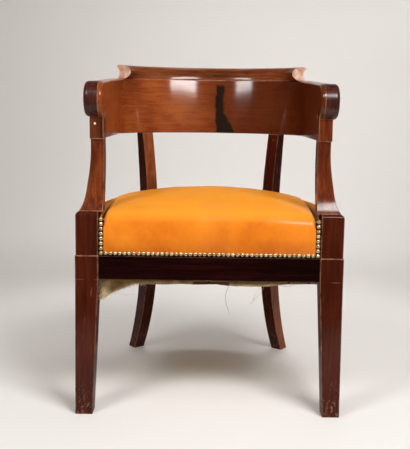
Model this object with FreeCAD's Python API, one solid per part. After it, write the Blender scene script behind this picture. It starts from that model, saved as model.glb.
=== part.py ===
# Gondola armchair: a fixed wooden armchair with a horseshoe back, rolled arm ends and a sprung leather seat.
# Millimetres, Z up, X to the right of someone facing the chair, Y towards the back.
# The chair is drawn with the front faces of its front legs at y = 0 and is centred on the origin at the end.
import FreeCAD, Part
import math
import os

Vec = FreeCAD.Vector

# Front legs: a tapered leg, a square block beside the seat rail and a post up to the arm support
WIDTH = 580.0               # across the front legs at the seat rail
LEG_SIDE = 50.0
FOOT_SIDE = 38.0
FOOT_SPLAY = 3.0            # how far the foot stands outside the block
POST_RISE = 95.0            # of the post above the block
POST_SETBACK = 1.5          # of the post's outer faces behind the block's
POST_ROUND = 8.0            # rounding of the post's top front and outer edges
LAND_WIDTH = 14.0           # strip beside the post that takes a column of nails
LAND_DEPTH = 25.0
EDGE_EASE = 1.2             # small rounding of worn wooden edges

# Seat rails
RAIL_BOTTOM = 306.0
RAIL_SHOWN = 52.0           # height of polished wood below the leather
REBATE_HEIGHT = 20.0        # recessed strip above it that takes the nails
REBATE_DEPTH = 5.0
RAIL_THICK = 28.0
RAIL_SETBACK = 2.0          # of the front rail behind the legs
RAIL_INSET = 5.0            # of the side rails inside the legs
TENON_THICK = 12.0
TENON_LENGTH = 22.0
REAR_TENON_LENGTH = 12.0
TENON_SHOULDER = 9.0        # rail left above and below a tenon
TENON_WALL = 6.0            # wood between the two tenons in a front leg
JOINT_GAP = 0.15            # glue line round a tenon or dowel

# Plan of the seat: straight sides that run into a half circle at the back
BACK_CENTRE_Y = 234.0
REAR_TURN = 37.0            # degrees from straight back to each rear leg

# Rear sabre legs, drawn in the upright plane through the leg and the centre of the back
KNEE_RISE = 14.0            # from the rail's lower edge to where the leg stands plumb
REAR_WIDTH = 32.0
REAR_DEPTH_KNEE = 40.0
REAR_DEPTH_FOOT = 30.0
REAR_DEPTH_TOP = 30.0
FOOT_SWEEP = 68.0           # how far the foot sweeps outwards from the knee
TOP_SWEEP = 24.0            # the same for the top
TOP_TENON_RISE = 30.0
TOP_TENON_THICK = 12.0
TOP_TENON_WIDTH = 20.0

# Arm supports and the blocks on top of them
SUPPORT_HEIGHT = 155.0
SUPPORT_FRONT_Y = 16.0      # front of the support's foot
SUPPORT_FOOT_INSET = 5.5    # of its foot inside the post's outer face
SUPPORT_TOP_STEP = 2.0      # how much wider its top is than the arm
SUPPORT_HOLLOW = 27.0       # how far its front sweeps back above the foot
SUPPORT_SWELL = 26.0        # how far its rear sweeps back behind the post
SUPPORT_TENON_RISE = 34.0
SUPPORT_TENON_WIDTH = 20.0
SUPPORT_TENON_DEPTH = 16.0
BLOCK_SIDE_STEP = 1.5       # of the block outside the support
BLOCK_FRONT_Y = 33.0
BLOCK_OVERHANG = 3.0        # of the block in front of the support
DOWEL_RADIUS = 5.0
THIN_DOWEL_RADIUS = 4.0
DOWEL_REACH = 26.0          # into each of the two pieces
DOWEL_SPACE = 1.5           # wood between two dowels that cross
LEVEL_DOWEL_RISE = 24.0

# Horseshoe band: the back rail and the two arm rails
ARM_RISE = 122.5            # from the band's lower edge to the top of the roll
BACK_RISE = 142.0           # from the band's lower edge to the crest
BAND_THICK = 26.0
ARM_INSET = 9.0             # of the arms' inner faces inside the front legs
BAND_LEAN = 0.16            # slope of the back's inner face at its lower edge
BAND_CURL = 0.00125         # how fast the lean grows with height
JOINT_TURN = 48.0           # where an arm rail meets the back rail
SECTION_TURN = 7.5          # between the cross-sections that carry the band and the crest
ARM_FRONT_Y = 72.0
BAND_EASE = 2.5             # rounding along the band's edges
ARM_EASE = 6.0              # rounding along the top of the arms' inner faces
ROLL_RADIUS = 38.0
ROLL_Y = 46.5
ROLL_LAYER = 9.0            # of the arm rail left inside the drum at its front end
BOSS_THICK = 14.0           # of the drum outside the arm rail
BOSS_EASE = 9.0
BACK_DOWEL_RISES = (40.0, 100.0)

# Crest rail, drawn outwards from the inner top edge of the band
CREST_TURN = 60.0
CREST_RISE = 35.0
CREST_LIP_DROP = 2.8        # of its front lip and its tip below the middle of its top
CREST_WAIST_RISE = 16.5     # height of the fullest belly and of the deepest hollow
CREST_BELLY = 17.0          # how far its round front stands in over the back at its ends
CREST_HOLLOW = 4.0          # how far the front falls back behind the sitter
CREST_SWELL_POWER = 3       # how late the hollow turns into the belly on the way to the ends
CREST_BEAK = 5.0            # how far its tip hangs out behind the back
CREST_WAIST = 6.0           # depth of the hollow under the tip
CREST_EASE = 2.5
CREST_DOWELS = (-0.9, -0.5, 0.0, 0.5, 0.9)    # as parts of the turn to the crest's end

# Seat stuffing and cover
LEATHER = 3.0
LEATHER_GAP = 0.3           # between the leather and what it lies on
SEAT_EDGE_DROP = 4.0        # of the leather's top edge below the posts
CROWN_RISE = 32.0
CROWN_POWER = 2.4           # how flat the crown is before it falls to the edge
CROWN_STEP = 40.0           # spacing of the points that carry the crown's surface
SEAT_EDGE_ROUND = 11.0
CANVAS = 1.4
CANVAS_INSET = 4.0          # of the canvas inside the rebate
STILE_CLEARANCE = 0.6       # between the cover and the wood that it is cut round

# Nails and tacks
NAIL_RADIUS = 4.6
NAIL_RISE = 3.4
NAIL_PITCH = 10.2
NAIL_LIFT = 6.0             # of the row above the polished wood
NAIL_MARGIN = 4.0           # between the end of a row and a leg
COLUMN_INSET = 6.0          # from a post to the middle of its column of nails
SHANK_RADIUS = 0.8
SHANK_LENGTH = 12.0
TACK_RADIUS = 3.0
TACK_HEAD = 0.9
TACK_INSET = 5.0            # from the edge of a strap or cloth to its tacks
TACK_PITCH = 42.0

# Webbing and dust cover
STRAP_WIDTH = 55.0
STRAP_THICK = 2.0
STRAP_INSET = 4.0           # of the strap's end inside the rail's face
STRAP_COUNT = 4             # lengthwise
STRAP_SPACE_SHARE = 0.26523 # between two lengthwise straps, of the width left beside them all
STRAPS_CROSSWISE = (-120.0, -40.0, 40.0, 120.0)    # from the centre of the back
COVER_THICK = 1.6
COVER_INSET = 3.0           # of the cloth's edge inside the middle of the rail
COVER_CLEARANCE = 2.0       # between the cloth and the legs
FLAP_WIDTH = 86.0
FLAP_DROP = 44.0
FLAP_TIP_INSET = 8.0        # from the outer edge of the flap to its lowest point
FLAP_NOTCH_INSET = 31.0
FLAP_NOTCH_DROP = 30.0
TEAR_LENGTH = 150.0         # along the side, from the front

# Springs and the twine that ties them down; places are across and from the centre of the back
SPRING_PLACES = ((-105, -100), (105, -100), (0, 0), (-105, 100), (105, 100))
SPRING_END_RADIUS = 40.0
SPRING_WAIST_RADIUS = 24.0
SPRING_TURNS = 4
SPRING_GAP = 0.1
FLAT_END = 0.1              # part of the coil that lies flat at each end
WIRE_RADIUS = 1.8
TWINE_RADIUS = 1.0
TWINE_END_GAP = 0.8         # lets the round end clear the curved rail

# Sizes that follow from those above
RAIL_TOP = RAIL_BOTTOM + RAIL_SHOWN + REBATE_HEIGHT
BLOCK_TOP = RAIL_BOTTOM + RAIL_SHOWN
POST_TOP = BLOCK_TOP + POST_RISE
KNEE_Z = RAIL_BOTTOM + KNEE_RISE
BAND_BOTTOM = POST_TOP + SUPPORT_HEIGHT
ARM_TOP = BAND_BOTTOM + ARM_RISE
BACK_TOP = BAND_BOTTOM + BACK_RISE
SEAT_EDGE_Z = POST_TOP - SEAT_EDGE_DROP
NAIL_Z = BLOCK_TOP + NAIL_LIFT
LEG_OUTER_X = WIDTH / 2
LEG_INNER_X = LEG_OUTER_X - LEG_SIDE
SEAT_RADIUS = LEG_OUTER_X - RAIL_INSET - RAIL_THICK / 2    # middle of the side and rear rails
REBATE_Y = RAIL_SETBACK + REBATE_DEPTH
REBATE_RADIUS = SEAT_RADIUS + RAIL_THICK / 2 - REBATE_DEPTH
BACK_CENTRE = Vec(0, BACK_CENTRE_Y, 0)
TURN = math.radians(REAR_TURN)
BACK_RADIUS = SEAT_RADIUS + TOP_SWEEP
ARM_INNER_X = LEG_INNER_X - ARM_INSET
ARM_X = ARM_INNER_X + BAND_THICK / 2
CORNER_RADIUS = (ARM_X - BACK_RADIUS * math.sin(TURN)) / (1 - math.sin(TURN))
CORNER_CENTRE = BACK_CENTRE + Vec(math.sin(TURN), math.cos(TURN), 0) * (BACK_RADIUS - CORNER_RADIUS)
ROLL_Z = ARM_TOP - ROLL_RADIUS
TENON_LOW = RAIL_BOTTOM + TENON_SHOULDER
TENON_HIGH = RAIL_TOP - TENON_SHOULDER - REBATE_HEIGHT
CANVAS_Z = RAIL_TOP + JOINT_GAP
PAD_Z = CANVAS_Z + CANVAS
LAND_TOP = SEAT_EDGE_Z - SEAT_EDGE_ROUND - 1
ABOVE_SEAT = POST_TOP + SUPPORT_HEIGHT    # top of the cuts that pass right through the seat
PAST = 1.0                  # how far a cut runs past the face that it opens
TINY = 0.1                  # slack when an edge is picked by its place


# Drawing helpers
def block(x0, x1, y0, y1, z0, z1):
    return Part.makeBox(x1 - x0, y1 - y0, z1 - z0, Vec(x0, y0, z0))


def roomy_block(box):
    """The hole for a tenon's block, wider by the glue line on every side."""
    return block(box[0] - JOINT_GAP, box[1] + JOINT_GAP, box[2] - JOINT_GAP, box[3] + JOINT_GAP,
                 box[4] - JOINT_GAP, box[5] + JOINT_GAP)


def line(a, b):
    return Part.LineSegment(a, b).toShape()


def arc(a, middle, b):
    return Part.Arc(a, middle, b).toShape()


def smooth(points):
    curve = Part.BSplineCurve()
    curve.interpolate(points)
    return curve.toShape()


def face_of(edges):
    return Part.Face(Part.Wire(edges))


def outline(points):
    return Part.makePolygon(points + points[:1])


def mirrored(shape):
    return shape.mirror(Vec(0, 0, 0), Vec(1, 0, 0))


def group(shapes):
    return Part.makeCompound(shapes)


def heading(turn):
    """Level direction away from the back's centre, 0 degrees straight back and 90 to the right."""
    angle = math.radians(turn)
    return Vec(math.sin(angle), math.cos(angle), 0)


def turned_block(centre, turn, out, side, z0, z1):
    """A block square to a heading; out and side are (from, to) pairs along the heading and to its right."""
    away = heading(turn)
    right = Vec(away.y, -away.x, 0)
    corners = []
    for o, s in ((out[0], side[0]), (out[1], side[0]), (out[1], side[1]), (out[0], side[1])):
        corner = centre + away * o + right * s
        corners.append(Vec(corner.x, corner.y, z0))
    return Part.Face(outline(corners)).extrude(Vec(0, 0, z1 - z0))


def grown(pair, gap):
    return (pair[0] - gap, pair[1] + gap)


def eased(shape, edges, radius):
    return shape.makeFillet(radius, edges)


def rod(start, end, radius):
    axis = end - start
    return Part.makeCylinder(radius, axis.Length, start, axis)


def seat_plan(radius, front_y):
    """Face of the seat's plan: a straight front, straight sides and a half circle at the back."""
    left = Vec(-radius, BACK_CENTRE_Y, 0)
    right = Vec(radius, BACK_CENTRE_Y, 0)
    rear = Vec(0, BACK_CENTRE_Y + radius, 0)
    front_left = Vec(-radius, front_y, 0)
    front_right = Vec(radius, front_y, 0)
    return face_of([line(front_left, front_right), line(front_right, right),
                    arc(right, rear, left), line(left, front_left)])


def seat_slab(radius, front_y, z0, z1):
    slab = seat_plan(radius, front_y).extrude(Vec(0, 0, z1 - z0))
    slab.translate(Vec(0, 0, z0))
    return slab


REAR_LEG_CENTRE = BACK_CENTRE + heading(REAR_TURN) * SEAT_RADIUS


def rear_leg_hole(gap, z0, z1):
    """Room for both rear legs where they pass the seat."""
    half_depth = REAR_DEPTH_KNEE / 2
    half_width = REAR_WIDTH / 2
    room = turned_block(REAR_LEG_CENTRE, REAR_TURN, grown((-half_depth, half_depth + TOP_SWEEP), gap),
                        grown((-half_width, half_width), gap), z0, z1)
    return group([room, mirrored(room)])


# Nails and tacks: one turned shape each, set along an axis that points out of the surface
def turned_nail(head_radius, head_rise, shank_length, domed):
    base = Vec(head_radius, 0, 0)
    tip = Vec(0, 0, head_rise)
    foot = Vec(0, 0, -shank_length)
    shank_foot = Vec(SHANK_RADIUS, 0, -shank_length)
    shank_top = Vec(SHANK_RADIUS, 0, 0)
    if domed:
        dome_radius = (head_radius ** 2 + head_rise ** 2) / (2 * head_rise)
        half = math.asin(head_radius / dome_radius) / 2
        over = Vec(dome_radius * math.sin(half), 0, head_rise - dome_radius * (1 - math.cos(half)))
        head = [arc(base, over, tip)]
    else:
        rim = Vec(head_radius, 0, head_rise)
        head = [line(base, rim), line(rim, tip)]
    profile = face_of([line(foot, shank_foot), line(shank_foot, shank_top), line(shank_top, base)]
                      + head + [line(tip, foot)])
    return profile.revolve(Vec(0, 0, 0), Vec(0, 0, 1), 360)


def set_along(shape, place, axis):
    copy = shape.copy()
    copy.Placement = FreeCAD.Placement(place, FreeCAD.Rotation(Vec(0, 0, 1), axis))
    return copy


def nails_at(spots):
    nail = turned_nail(NAIL_RADIUS, NAIL_RISE, SHANK_LENGTH, True)
    return group([set_along(nail, place, axis) for place, axis in spots])


def tacks_at(places):
    tack = turned_nail(TACK_RADIUS, TACK_HEAD, SHANK_LENGTH, False)
    return group([set_along(tack, place, Vec(0, 0, -1)) for place in places])


def shanks(spots):
    """Holes that the nails make in what they are driven through."""
    return group([rod(place, place - axis * SHANK_LENGTH, SHANK_RADIUS) for place, axis in spots])


def spaced(first, last, pitch):
    count = max(1, round(abs(last - first) / pitch))
    return [first + (last - first) * i / count for i in range(count + 1)]


COVER_Y = REBATE_Y - LEATHER - LEATHER_GAP
COVER_SKIN_RADIUS = REBATE_RADIUS + LEATHER + LEATHER_GAP
FORWARD = Vec(0, -1, 0)
column_x = LEG_INNER_X - COLUMN_INSET
column_z = spaced(NAIL_Z, SEAT_EDGE_Z - SEAT_EDGE_ROUND, NAIL_PITCH)[1:]
front_spots = [(Vec(x, COVER_Y, NAIL_Z), FORWARD) for x in spaced(-column_x, column_x, NAIL_PITCH)]
left_column_spots = [(Vec(-column_x, COVER_Y, z), FORWARD) for z in column_z]
right_column_spots = [(Vec(column_x, COVER_Y, z), FORWARD) for z in column_z]

side_first_y = LEG_SIDE + NAIL_RADIUS + NAIL_MARGIN
side_ys = spaced(side_first_y, BACK_CENTRE_Y, NAIL_PITCH)
leg_half_turn = math.degrees((REAR_WIDTH / 2 + NAIL_RADIUS + NAIL_MARGIN) / COVER_SKIN_RADIUS)
turn_pitch = math.degrees(NAIL_PITCH / COVER_SKIN_RADIUS)
side_turns = spaced(90, REAR_TURN + leg_half_turn, turn_pitch)[1:]
rear_turns = spaced(-REAR_TURN + leg_half_turn, REAR_TURN - leg_half_turn, turn_pitch)


def round_spot(turn):
    place = BACK_CENTRE + heading(turn) * COVER_SKIN_RADIUS
    return (Vec(place.x, place.y, NAIL_Z), heading(turn))


right_spots = [(Vec(COVER_SKIN_RADIUS, y, NAIL_Z), Vec(1, 0, 0)) for y in side_ys]
right_spots += [round_spot(turn) for turn in side_turns]
left_spots = [(Vec(-place.x, place.y, place.z), Vec(-axis.x, axis.y, 0)) for place, axis in right_spots]
rear_spots = [round_spot(turn) for turn in rear_turns]

# Places of the tacks: strap ends outside the dust cover, the dust cover's own tacks inside its edge
leg_corner_x = REAR_LEG_CENTRE.x - REAR_DEPTH_KNEE / 2 * math.sin(TURN) - REAR_WIDTH / 2 * math.cos(TURN)
strap_space = STRAP_SPACE_SHARE * (2 * leg_corner_x - STRAP_COUNT * STRAP_WIDTH)
strap_pitch = STRAP_WIDTH + strap_space
lengthwise_xs = [strap_pitch * (k - (STRAP_COUNT - 1) / 2) for k in range(STRAP_COUNT)]
strap_end_radius = SEAT_RADIUS + RAIL_THICK / 2 - STRAP_INSET
strap_tack_radius = strap_end_radius - TACK_INSET
strap_front_y = RAIL_SETBACK + STRAP_INSET
strap_tack_y = strap_front_y + TACK_INSET
cover_radius = SEAT_RADIUS - COVER_INSET
cover_front_y = RAIL_SETBACK + RAIL_THICK / 2
cover_tack_radius = cover_radius - TACK_INSET
cover_tack_y = cover_front_y + TACK_INSET
strap_z = RAIL_BOTTOM - STRAP_THICK
cross_z = strap_z - STRAP_THICK
cover_z = cross_z - COVER_THICK
tack_steps = (-STRAP_WIDTH / 3, 0, STRAP_WIDTH / 3)
crosswise_ys = [BACK_CENTRE_Y + step for step in STRAPS_CROSSWISE]
flap_start_x = COVER_CLEARANCE - LEG_INNER_X
flap_end_x = flap_start_x + FLAP_WIDTH


def round_y(x, radius):
    """Y of the rounded back at a given x."""
    return BACK_CENTRE_Y + math.sqrt(radius ** 2 - x ** 2)


def round_x(y, radius):
    """X of the side at a given y."""
    if y < BACK_CENTRE_Y:
        return radius
    return math.sqrt(radius ** 2 - (y - BACK_CENTRE_Y) ** 2)


lengthwise_tacks = []
for x in lengthwise_xs:
    for step in tack_steps:
        lengthwise_tacks.append(Vec(x + step, strap_tack_y, strap_z))
        lengthwise_tacks.append(Vec(x + step, round_y(x + step, strap_tack_radius), strap_z))
crosswise_tacks = []
for y in crosswise_ys:
    for step in tack_steps:
        for side in (-1, 1):
            crosswise_tacks.append(Vec(side * round_x(y + step, strap_tack_radius), y + step, cross_z))
tack_turn = math.degrees(TACK_PITCH / cover_tack_radius)
front_tack_xs = spaced(flap_end_x + TACK_PITCH / 2, LEG_INNER_X - TACK_PITCH / 2, TACK_PITCH)
cover_tacks = [Vec(x, cover_tack_y, cover_z) for x in front_tack_xs]
cover_tacks += [Vec(cover_tack_radius, y, cover_z)
                for y in spaced(LEG_SIDE + TACK_PITCH / 2, BACK_CENTRE_Y, TACK_PITCH)[:-1]]
for turn in spaced(-90, 90, tack_turn):
    if abs(abs(turn) - REAR_TURN) > 1.5 * leg_half_turn:
        place = BACK_CENTRE + heading(turn) * cover_tack_radius
        cover_tacks.append(Vec(place.x, place.y, cover_z))
UP = Vec(0, 0, 1)
tack_holes = shanks([(place, -UP) for place in lengthwise_tacks + crosswise_tacks + cover_tacks])

pieces = {}

# Front legs
foot_x0 = LEG_OUTER_X + FOOT_SPLAY - FOOT_SIDE
foot = outline([Vec(foot_x0, 0, 0), Vec(foot_x0 + FOOT_SIDE, 0, 0),
                Vec(foot_x0 + FOOT_SIDE, FOOT_SIDE, 0), Vec(foot_x0, FOOT_SIDE, 0)])
shoulder = outline([Vec(LEG_INNER_X, 0, RAIL_BOTTOM), Vec(LEG_OUTER_X, 0, RAIL_BOTTOM),
                    Vec(LEG_OUTER_X, LEG_SIDE, RAIL_BOTTOM), Vec(LEG_INNER_X, LEG_SIDE, RAIL_BOTTOM)])
taper = Part.makeLoft([foot, shoulder], True, True)
die = block(LEG_INNER_X, LEG_OUTER_X, 0, LEG_SIDE, RAIL_BOTTOM, BLOCK_TOP)
post_outer_x = LEG_OUTER_X - POST_SETBACK
post = block(LEG_INNER_X, post_outer_x, POST_SETBACK, LEG_SIDE, BLOCK_TOP, POST_TOP)
top_edges = [e for e in post.Edges if e.BoundBox.ZMin > POST_TOP - TINY
             and (e.BoundBox.YMax < POST_SETBACK + TINY or e.BoundBox.XMin > post_outer_x - TINY)]
post = eased(post, top_edges, POST_ROUND)
land = block(LEG_INNER_X - LAND_WIDTH, LEG_INNER_X, REBATE_Y, REBATE_Y + LAND_DEPTH, PAD_Z, LAND_TOP)
front_leg = taper.fuse([die, post, land]).removeSplitter()
leg_edges = [e for e in front_leg.Edges
             if e.BoundBox.ZLength > RAIL_SHOWN / 2 and e.BoundBox.XMax > LEG_INNER_X - TINY]
front_leg = eased(front_leg, leg_edges, EDGE_EASE)

front_tenon_y = RAIL_SETBACK + (RAIL_THICK - TENON_THICK) / 2
front_tenon_box = [LEG_INNER_X, LEG_INNER_X + TENON_LENGTH, front_tenon_y, front_tenon_y + TENON_THICK,
                   TENON_LOW, TENON_HIGH]
side_tenon_y = front_tenon_y + TENON_THICK + TENON_WALL
side_tenon_box = [SEAT_RADIUS - TENON_THICK / 2, SEAT_RADIUS + TENON_THICK / 2, side_tenon_y, LEG_SIDE,
                  TENON_LOW, TENON_HIGH]
support_foot_x = post_outer_x - SUPPORT_FOOT_INSET
tenon_centre_x = (LEG_INNER_X + support_foot_x) / 2
tenon_centre_y = (SUPPORT_FRONT_Y + LEG_SIDE) / 2
support_tenon_box = [tenon_centre_x - SUPPORT_TENON_WIDTH / 2, tenon_centre_x + SUPPORT_TENON_WIDTH / 2,
                     tenon_centre_y - SUPPORT_TENON_DEPTH / 2, tenon_centre_y + SUPPORT_TENON_DEPTH / 2,
                     POST_TOP - SUPPORT_TENON_RISE, POST_TOP + PAST]
leg_mortises = [roomy_block(box) for box in (front_tenon_box, side_tenon_box, support_tenon_box)]
front_leg = front_leg.cut(leg_mortises + [shanks(right_column_spots)])
pieces["front_leg_right"] = front_leg
pieces["front_leg_left"] = mirrored(front_leg)


# Rear legs
def sabre_middle(knee, end):
    """Point half way along the arc that stands plumb at the knee and ends above or below it."""
    sweep = end.x - knee.x
    drop = end.z - knee.z
    radius = (sweep ** 2 + drop ** 2) / (2 * sweep)
    half = math.asin(abs(drop / radius)) / 2
    return Vec(knee.x + radius * (1 - math.cos(half)), 0,
               knee.z + math.copysign(abs(radius) * math.sin(half), drop))


def leg_point(p):
    away = heading(REAR_TURN)
    return Vec(REAR_LEG_CENTRE.x + away.x * p.x, REAR_LEG_CENTRE.y + away.y * p.x, p.z)


def leg_line(side):
    """Points down the inner (-1) or outer (1) side of the leg."""
    knee = Vec(side * REAR_DEPTH_KNEE / 2, 0, KNEE_Z)
    foot_end = Vec(FOOT_SWEEP + side * REAR_DEPTH_FOOT / 2, 0, 0)
    top_end = Vec(TOP_SWEEP + side * REAR_DEPTH_TOP / 2, 0, BAND_BOTTOM)
    points = [top_end, sabre_middle(knee, top_end), knee, sabre_middle(knee, foot_end), foot_end]
    return [leg_point(p) for p in points]


inner_line = leg_line(-1)
outer_line = leg_line(1)
leg_side = face_of([smooth(inner_line), line(inner_line[-1], outer_line[-1]), smooth(outer_line[::-1]),
                    line(outer_line[0], inner_line[0])])
across = Vec(math.cos(TURN), -math.sin(TURN), 0)
leg_side.translate(across * (-REAR_WIDTH / 2))
rear_leg = leg_side.extrude(across * REAR_WIDTH)
long_edges = [e for e in rear_leg.Edges if e.BoundBox.ZLength > SUPPORT_HEIGHT]
rear_leg = eased(rear_leg, long_edges, EDGE_EASE)
top_tenon_out = (TOP_SWEEP - TOP_TENON_THICK / 2, TOP_SWEEP + TOP_TENON_THICK / 2)
top_tenon_side = (-TOP_TENON_WIDTH / 2, TOP_TENON_WIDTH / 2)
top_tenon_z = BAND_BOTTOM + TOP_TENON_RISE
top_tenon = turned_block(REAR_LEG_CENTRE, REAR_TURN, top_tenon_out, top_tenon_side,
                         BAND_BOTTOM - PAST, top_tenon_z)
top_mortise = turned_block(REAR_LEG_CENTRE, REAR_TURN, grown(top_tenon_out, JOINT_GAP),
                           grown(top_tenon_side, JOINT_GAP), BAND_BOTTOM - PAST, top_tenon_z + JOINT_GAP)
rear_tenon_out = (-TENON_THICK / 2, TENON_THICK / 2)
half_width = REAR_WIDTH / 2
rear_rail_tenon = turned_block(REAR_LEG_CENTRE, REAR_TURN, rear_tenon_out,
                               (-half_width - PAST, -half_width + REAR_TENON_LENGTH), TENON_LOW, TENON_HIGH)
side_rail_tenon = turned_block(REAR_LEG_CENTRE, REAR_TURN, rear_tenon_out,
                               (half_width - REAR_TENON_LENGTH, half_width + PAST), TENON_LOW, TENON_HIGH)
mortise_depth = REAR_TENON_LENGTH + JOINT_GAP
left_mortise = (-half_width - PAST, -half_width + mortise_depth)
right_mortise = (half_width - mortise_depth, half_width + PAST)
for side_range in (left_mortise, right_mortise):
    rail_mortise = turned_block(REAR_LEG_CENTRE, REAR_TURN, grown(rear_tenon_out, JOINT_GAP), side_range,
                                TENON_LOW - JOINT_GAP, TENON_HIGH + JOINT_GAP)
    rear_leg = rear_leg.cut(rail_mortise)
rear_leg = rear_leg.fuse(top_tenon).removeSplitter()
pieces["rear_leg_right"] = rear_leg
pieces["rear_leg_left"] = mirrored(rear_leg)

# Seat rails
front_rail = block(-LEG_INNER_X, LEG_INNER_X, RAIL_SETBACK, RAIL_SETBACK + RAIL_THICK, RAIL_BOTTOM, RAIL_TOP)
front_rebate = block(-LEG_INNER_X, LEG_INNER_X, 0, REBATE_Y, BLOCK_TOP, RAIL_TOP + PAST)
front_tenon = block(*front_tenon_box)
front_rail = front_rail.cut(front_rebate).fuse([front_tenon, mirrored(front_tenon)]).removeSplitter()
front_holes = shanks(front_spots + left_column_spots + right_column_spots)
pieces["seat_rail_front"] = front_rail.cut([front_holes, tack_holes])

outer_radius = SEAT_RADIUS + RAIL_THICK / 2
inner_radius = SEAT_RADIUS - RAIL_THICK / 2
ring = seat_slab(outer_radius, LEG_SIDE, RAIL_BOTTOM, RAIL_TOP)
ring = ring.cut(seat_slab(inner_radius, LEG_SIDE - PAST, RAIL_BOTTOM - PAST, RAIL_TOP + PAST))
rebate = seat_slab(outer_radius + PAST, LEG_SIDE - PAST, BLOCK_TOP, RAIL_TOP + PAST)
rebate = rebate.cut(seat_slab(REBATE_RADIUS, LEG_SIDE - 2 * PAST, BLOCK_TOP - PAST, RAIL_TOP + 2 * PAST))
ring = ring.cut(rebate)
leg_slot = turned_block(REAR_LEG_CENTRE, REAR_TURN, (-REAR_DEPTH_KNEE, REAR_DEPTH_KNEE),
                        (-half_width, half_width), RAIL_BOTTOM - PAST, RAIL_TOP + PAST)
ring = ring.cut([leg_slot, mirrored(leg_slot)])
rails = sorted(ring.Solids, key=lambda solid: solid.CenterOfMass.x)
side_rail = rails[2].fuse([block(*side_tenon_box), side_rail_tenon]).removeSplitter()
rear_rail = rails[1].fuse([rear_rail_tenon, mirrored(rear_rail_tenon)]).removeSplitter()
pieces["seat_rail_right"] = side_rail.cut([shanks(right_spots), tack_holes])
pieces["seat_rail_left"] = mirrored(side_rail).cut([shanks(left_spots), tack_holes])
pieces["seat_rail_rear"] = rear_rail.cut([shanks(rear_spots), tack_holes])


# Horseshoe band
def band_place(turn):
    """Plan point on the band's lower middle line, and the level direction out of the horseshoe there."""
    away = heading(turn)
    if abs(turn) <= REAR_TURN:
        return BACK_CENTRE + away * BACK_RADIUS, away
    centre = CORNER_CENTRE if turn > 0 else Vec(-CORNER_CENTRE.x, CORNER_CENTRE.y, 0)
    return centre + away * CORNER_RADIUS, away


def lean_at(turn):
    """Backward lean, full behind the seat and fading out towards the arms."""
    fade = min(max((abs(turn) - REAR_TURN) / (90 - REAR_TURN), 0), 1)
    return BAND_LEAN * (1 + math.cos(math.pi * fade)) / 2


def lean_shift(lean, height):
    return lean * (height + BAND_CURL * height ** 2)


arm_run = CORNER_RADIUS * math.radians(90 - CREST_TURN) + CORNER_CENTRE.y - ROLL_Y


def band_top(turn):
    """Height of the band's top: level under the crest, then falling evenly to the roll."""
    gone = CORNER_RADIUS * math.radians(max(abs(turn) - CREST_TURN, 0))
    return BACK_TOP - (BACK_TOP - ARM_TOP) * gone / arm_run


def band_section(place, away, lean, top):
    def at(side, height):
        out = side * BAND_THICK / 2 + lean_shift(lean, height)
        return Vec(place.x + away.x * out, place.y + away.y * out, BAND_BOTTOM + height)
    rise = top - BAND_BOTTOM
    return Part.Wire([line(at(-1, 0), at(1, 0)), smooth([at(1, 0), at(1, rise / 2), at(1, rise)]),
                      line(at(1, rise), at(-1, rise)), smooth([at(-1, rise), at(-1, rise / 2), at(-1, 0)])])


def turned_section(turn):
    place, away = band_place(turn)
    return band_section(place, away, lean_at(turn), band_top(turn))


back_turns = spaced(-JOINT_TURN, JOINT_TURN, SECTION_TURN)
arm_turns = spaced(JOINT_TURN, 90, SECTION_TURN)
back_rail = Part.makeLoft([turned_section(turn) for turn in back_turns], True, False)
curved_arm = Part.makeLoft([turned_section(turn) for turn in arm_turns], True, False)


def arm_point(y, z):
    return Vec(ARM_INNER_X, y, z)


notch_z = ROLL_Z - math.sqrt(ROLL_RADIUS ** 2 - (ARM_FRONT_Y - ROLL_Y) ** 2)
arm_low = arm_point(CORNER_CENTRE.y, BAND_BOTTOM)
arm_front = arm_point(ARM_FRONT_Y, BAND_BOTTOM)
notch = arm_point(ARM_FRONT_Y, notch_z)
roll_front = arm_point(ROLL_Y - ROLL_RADIUS, ROLL_Z)
roll_top = arm_point(ROLL_Y, ARM_TOP)
arm_high = arm_point(CORNER_CENTRE.y, band_top(90))
straight_arm = face_of([line(arm_low, arm_front), line(arm_front, notch), arc(notch, roll_front, roll_top),
                        line(roll_top, arm_high), line(arm_high, arm_low)]).extrude(Vec(BAND_THICK, 0, 0))
arm_rail = curved_arm.fuse(straight_arm).removeSplitter()
arm_edges = [e for e in arm_rail.Edges if e.BoundBox.YLength > ROLL_RADIUS
             and not (e.BoundBox.XMin > ARM_X and e.BoundBox.YMin < ROLL_Y - TINY)]


def forearm_edge(edge):
    return edge.BoundBox.XMax < ARM_X and edge.BoundBox.ZMax > ROLL_Z


arm_rail = eased(arm_rail, [e for e in arm_edges if not forearm_edge(e)], BAND_EASE)
soft_edges = [e for e in arm_rail.Edges if forearm_edge(e) and e.BoundBox.YLength > ROLL_RADIUS]
arm_rail = eased(arm_rail, soft_edges, ARM_EASE)
low_edges = [e for e in back_rail.Edges
             if e.BoundBox.ZMax < BAND_BOTTOM + PAST and e.BoundBox.XLength > BACK_RADIUS]
back_rail = eased(back_rail, low_edges, BAND_EASE)

drum_place = Vec(ARM_INNER_X + ROLL_LAYER, ROLL_Y, ROLL_Z)
drum_length = BAND_THICK - ROLL_LAYER + BOSS_THICK
boss = Part.makeCylinder(ROLL_RADIUS, drum_length, drum_place, Vec(1, 0, 0))
boss_rim = [e for e in boss.Edges if e.BoundBox.XMin > drum_place.x + drum_length - TINY]
boss = eased(boss, boss_rim, BOSS_EASE)
arm_rail = arm_rail.cut(Part.makeCylinder(ROLL_RADIUS + JOINT_GAP, drum_length, drum_place, Vec(1, 0, 0)))

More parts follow.
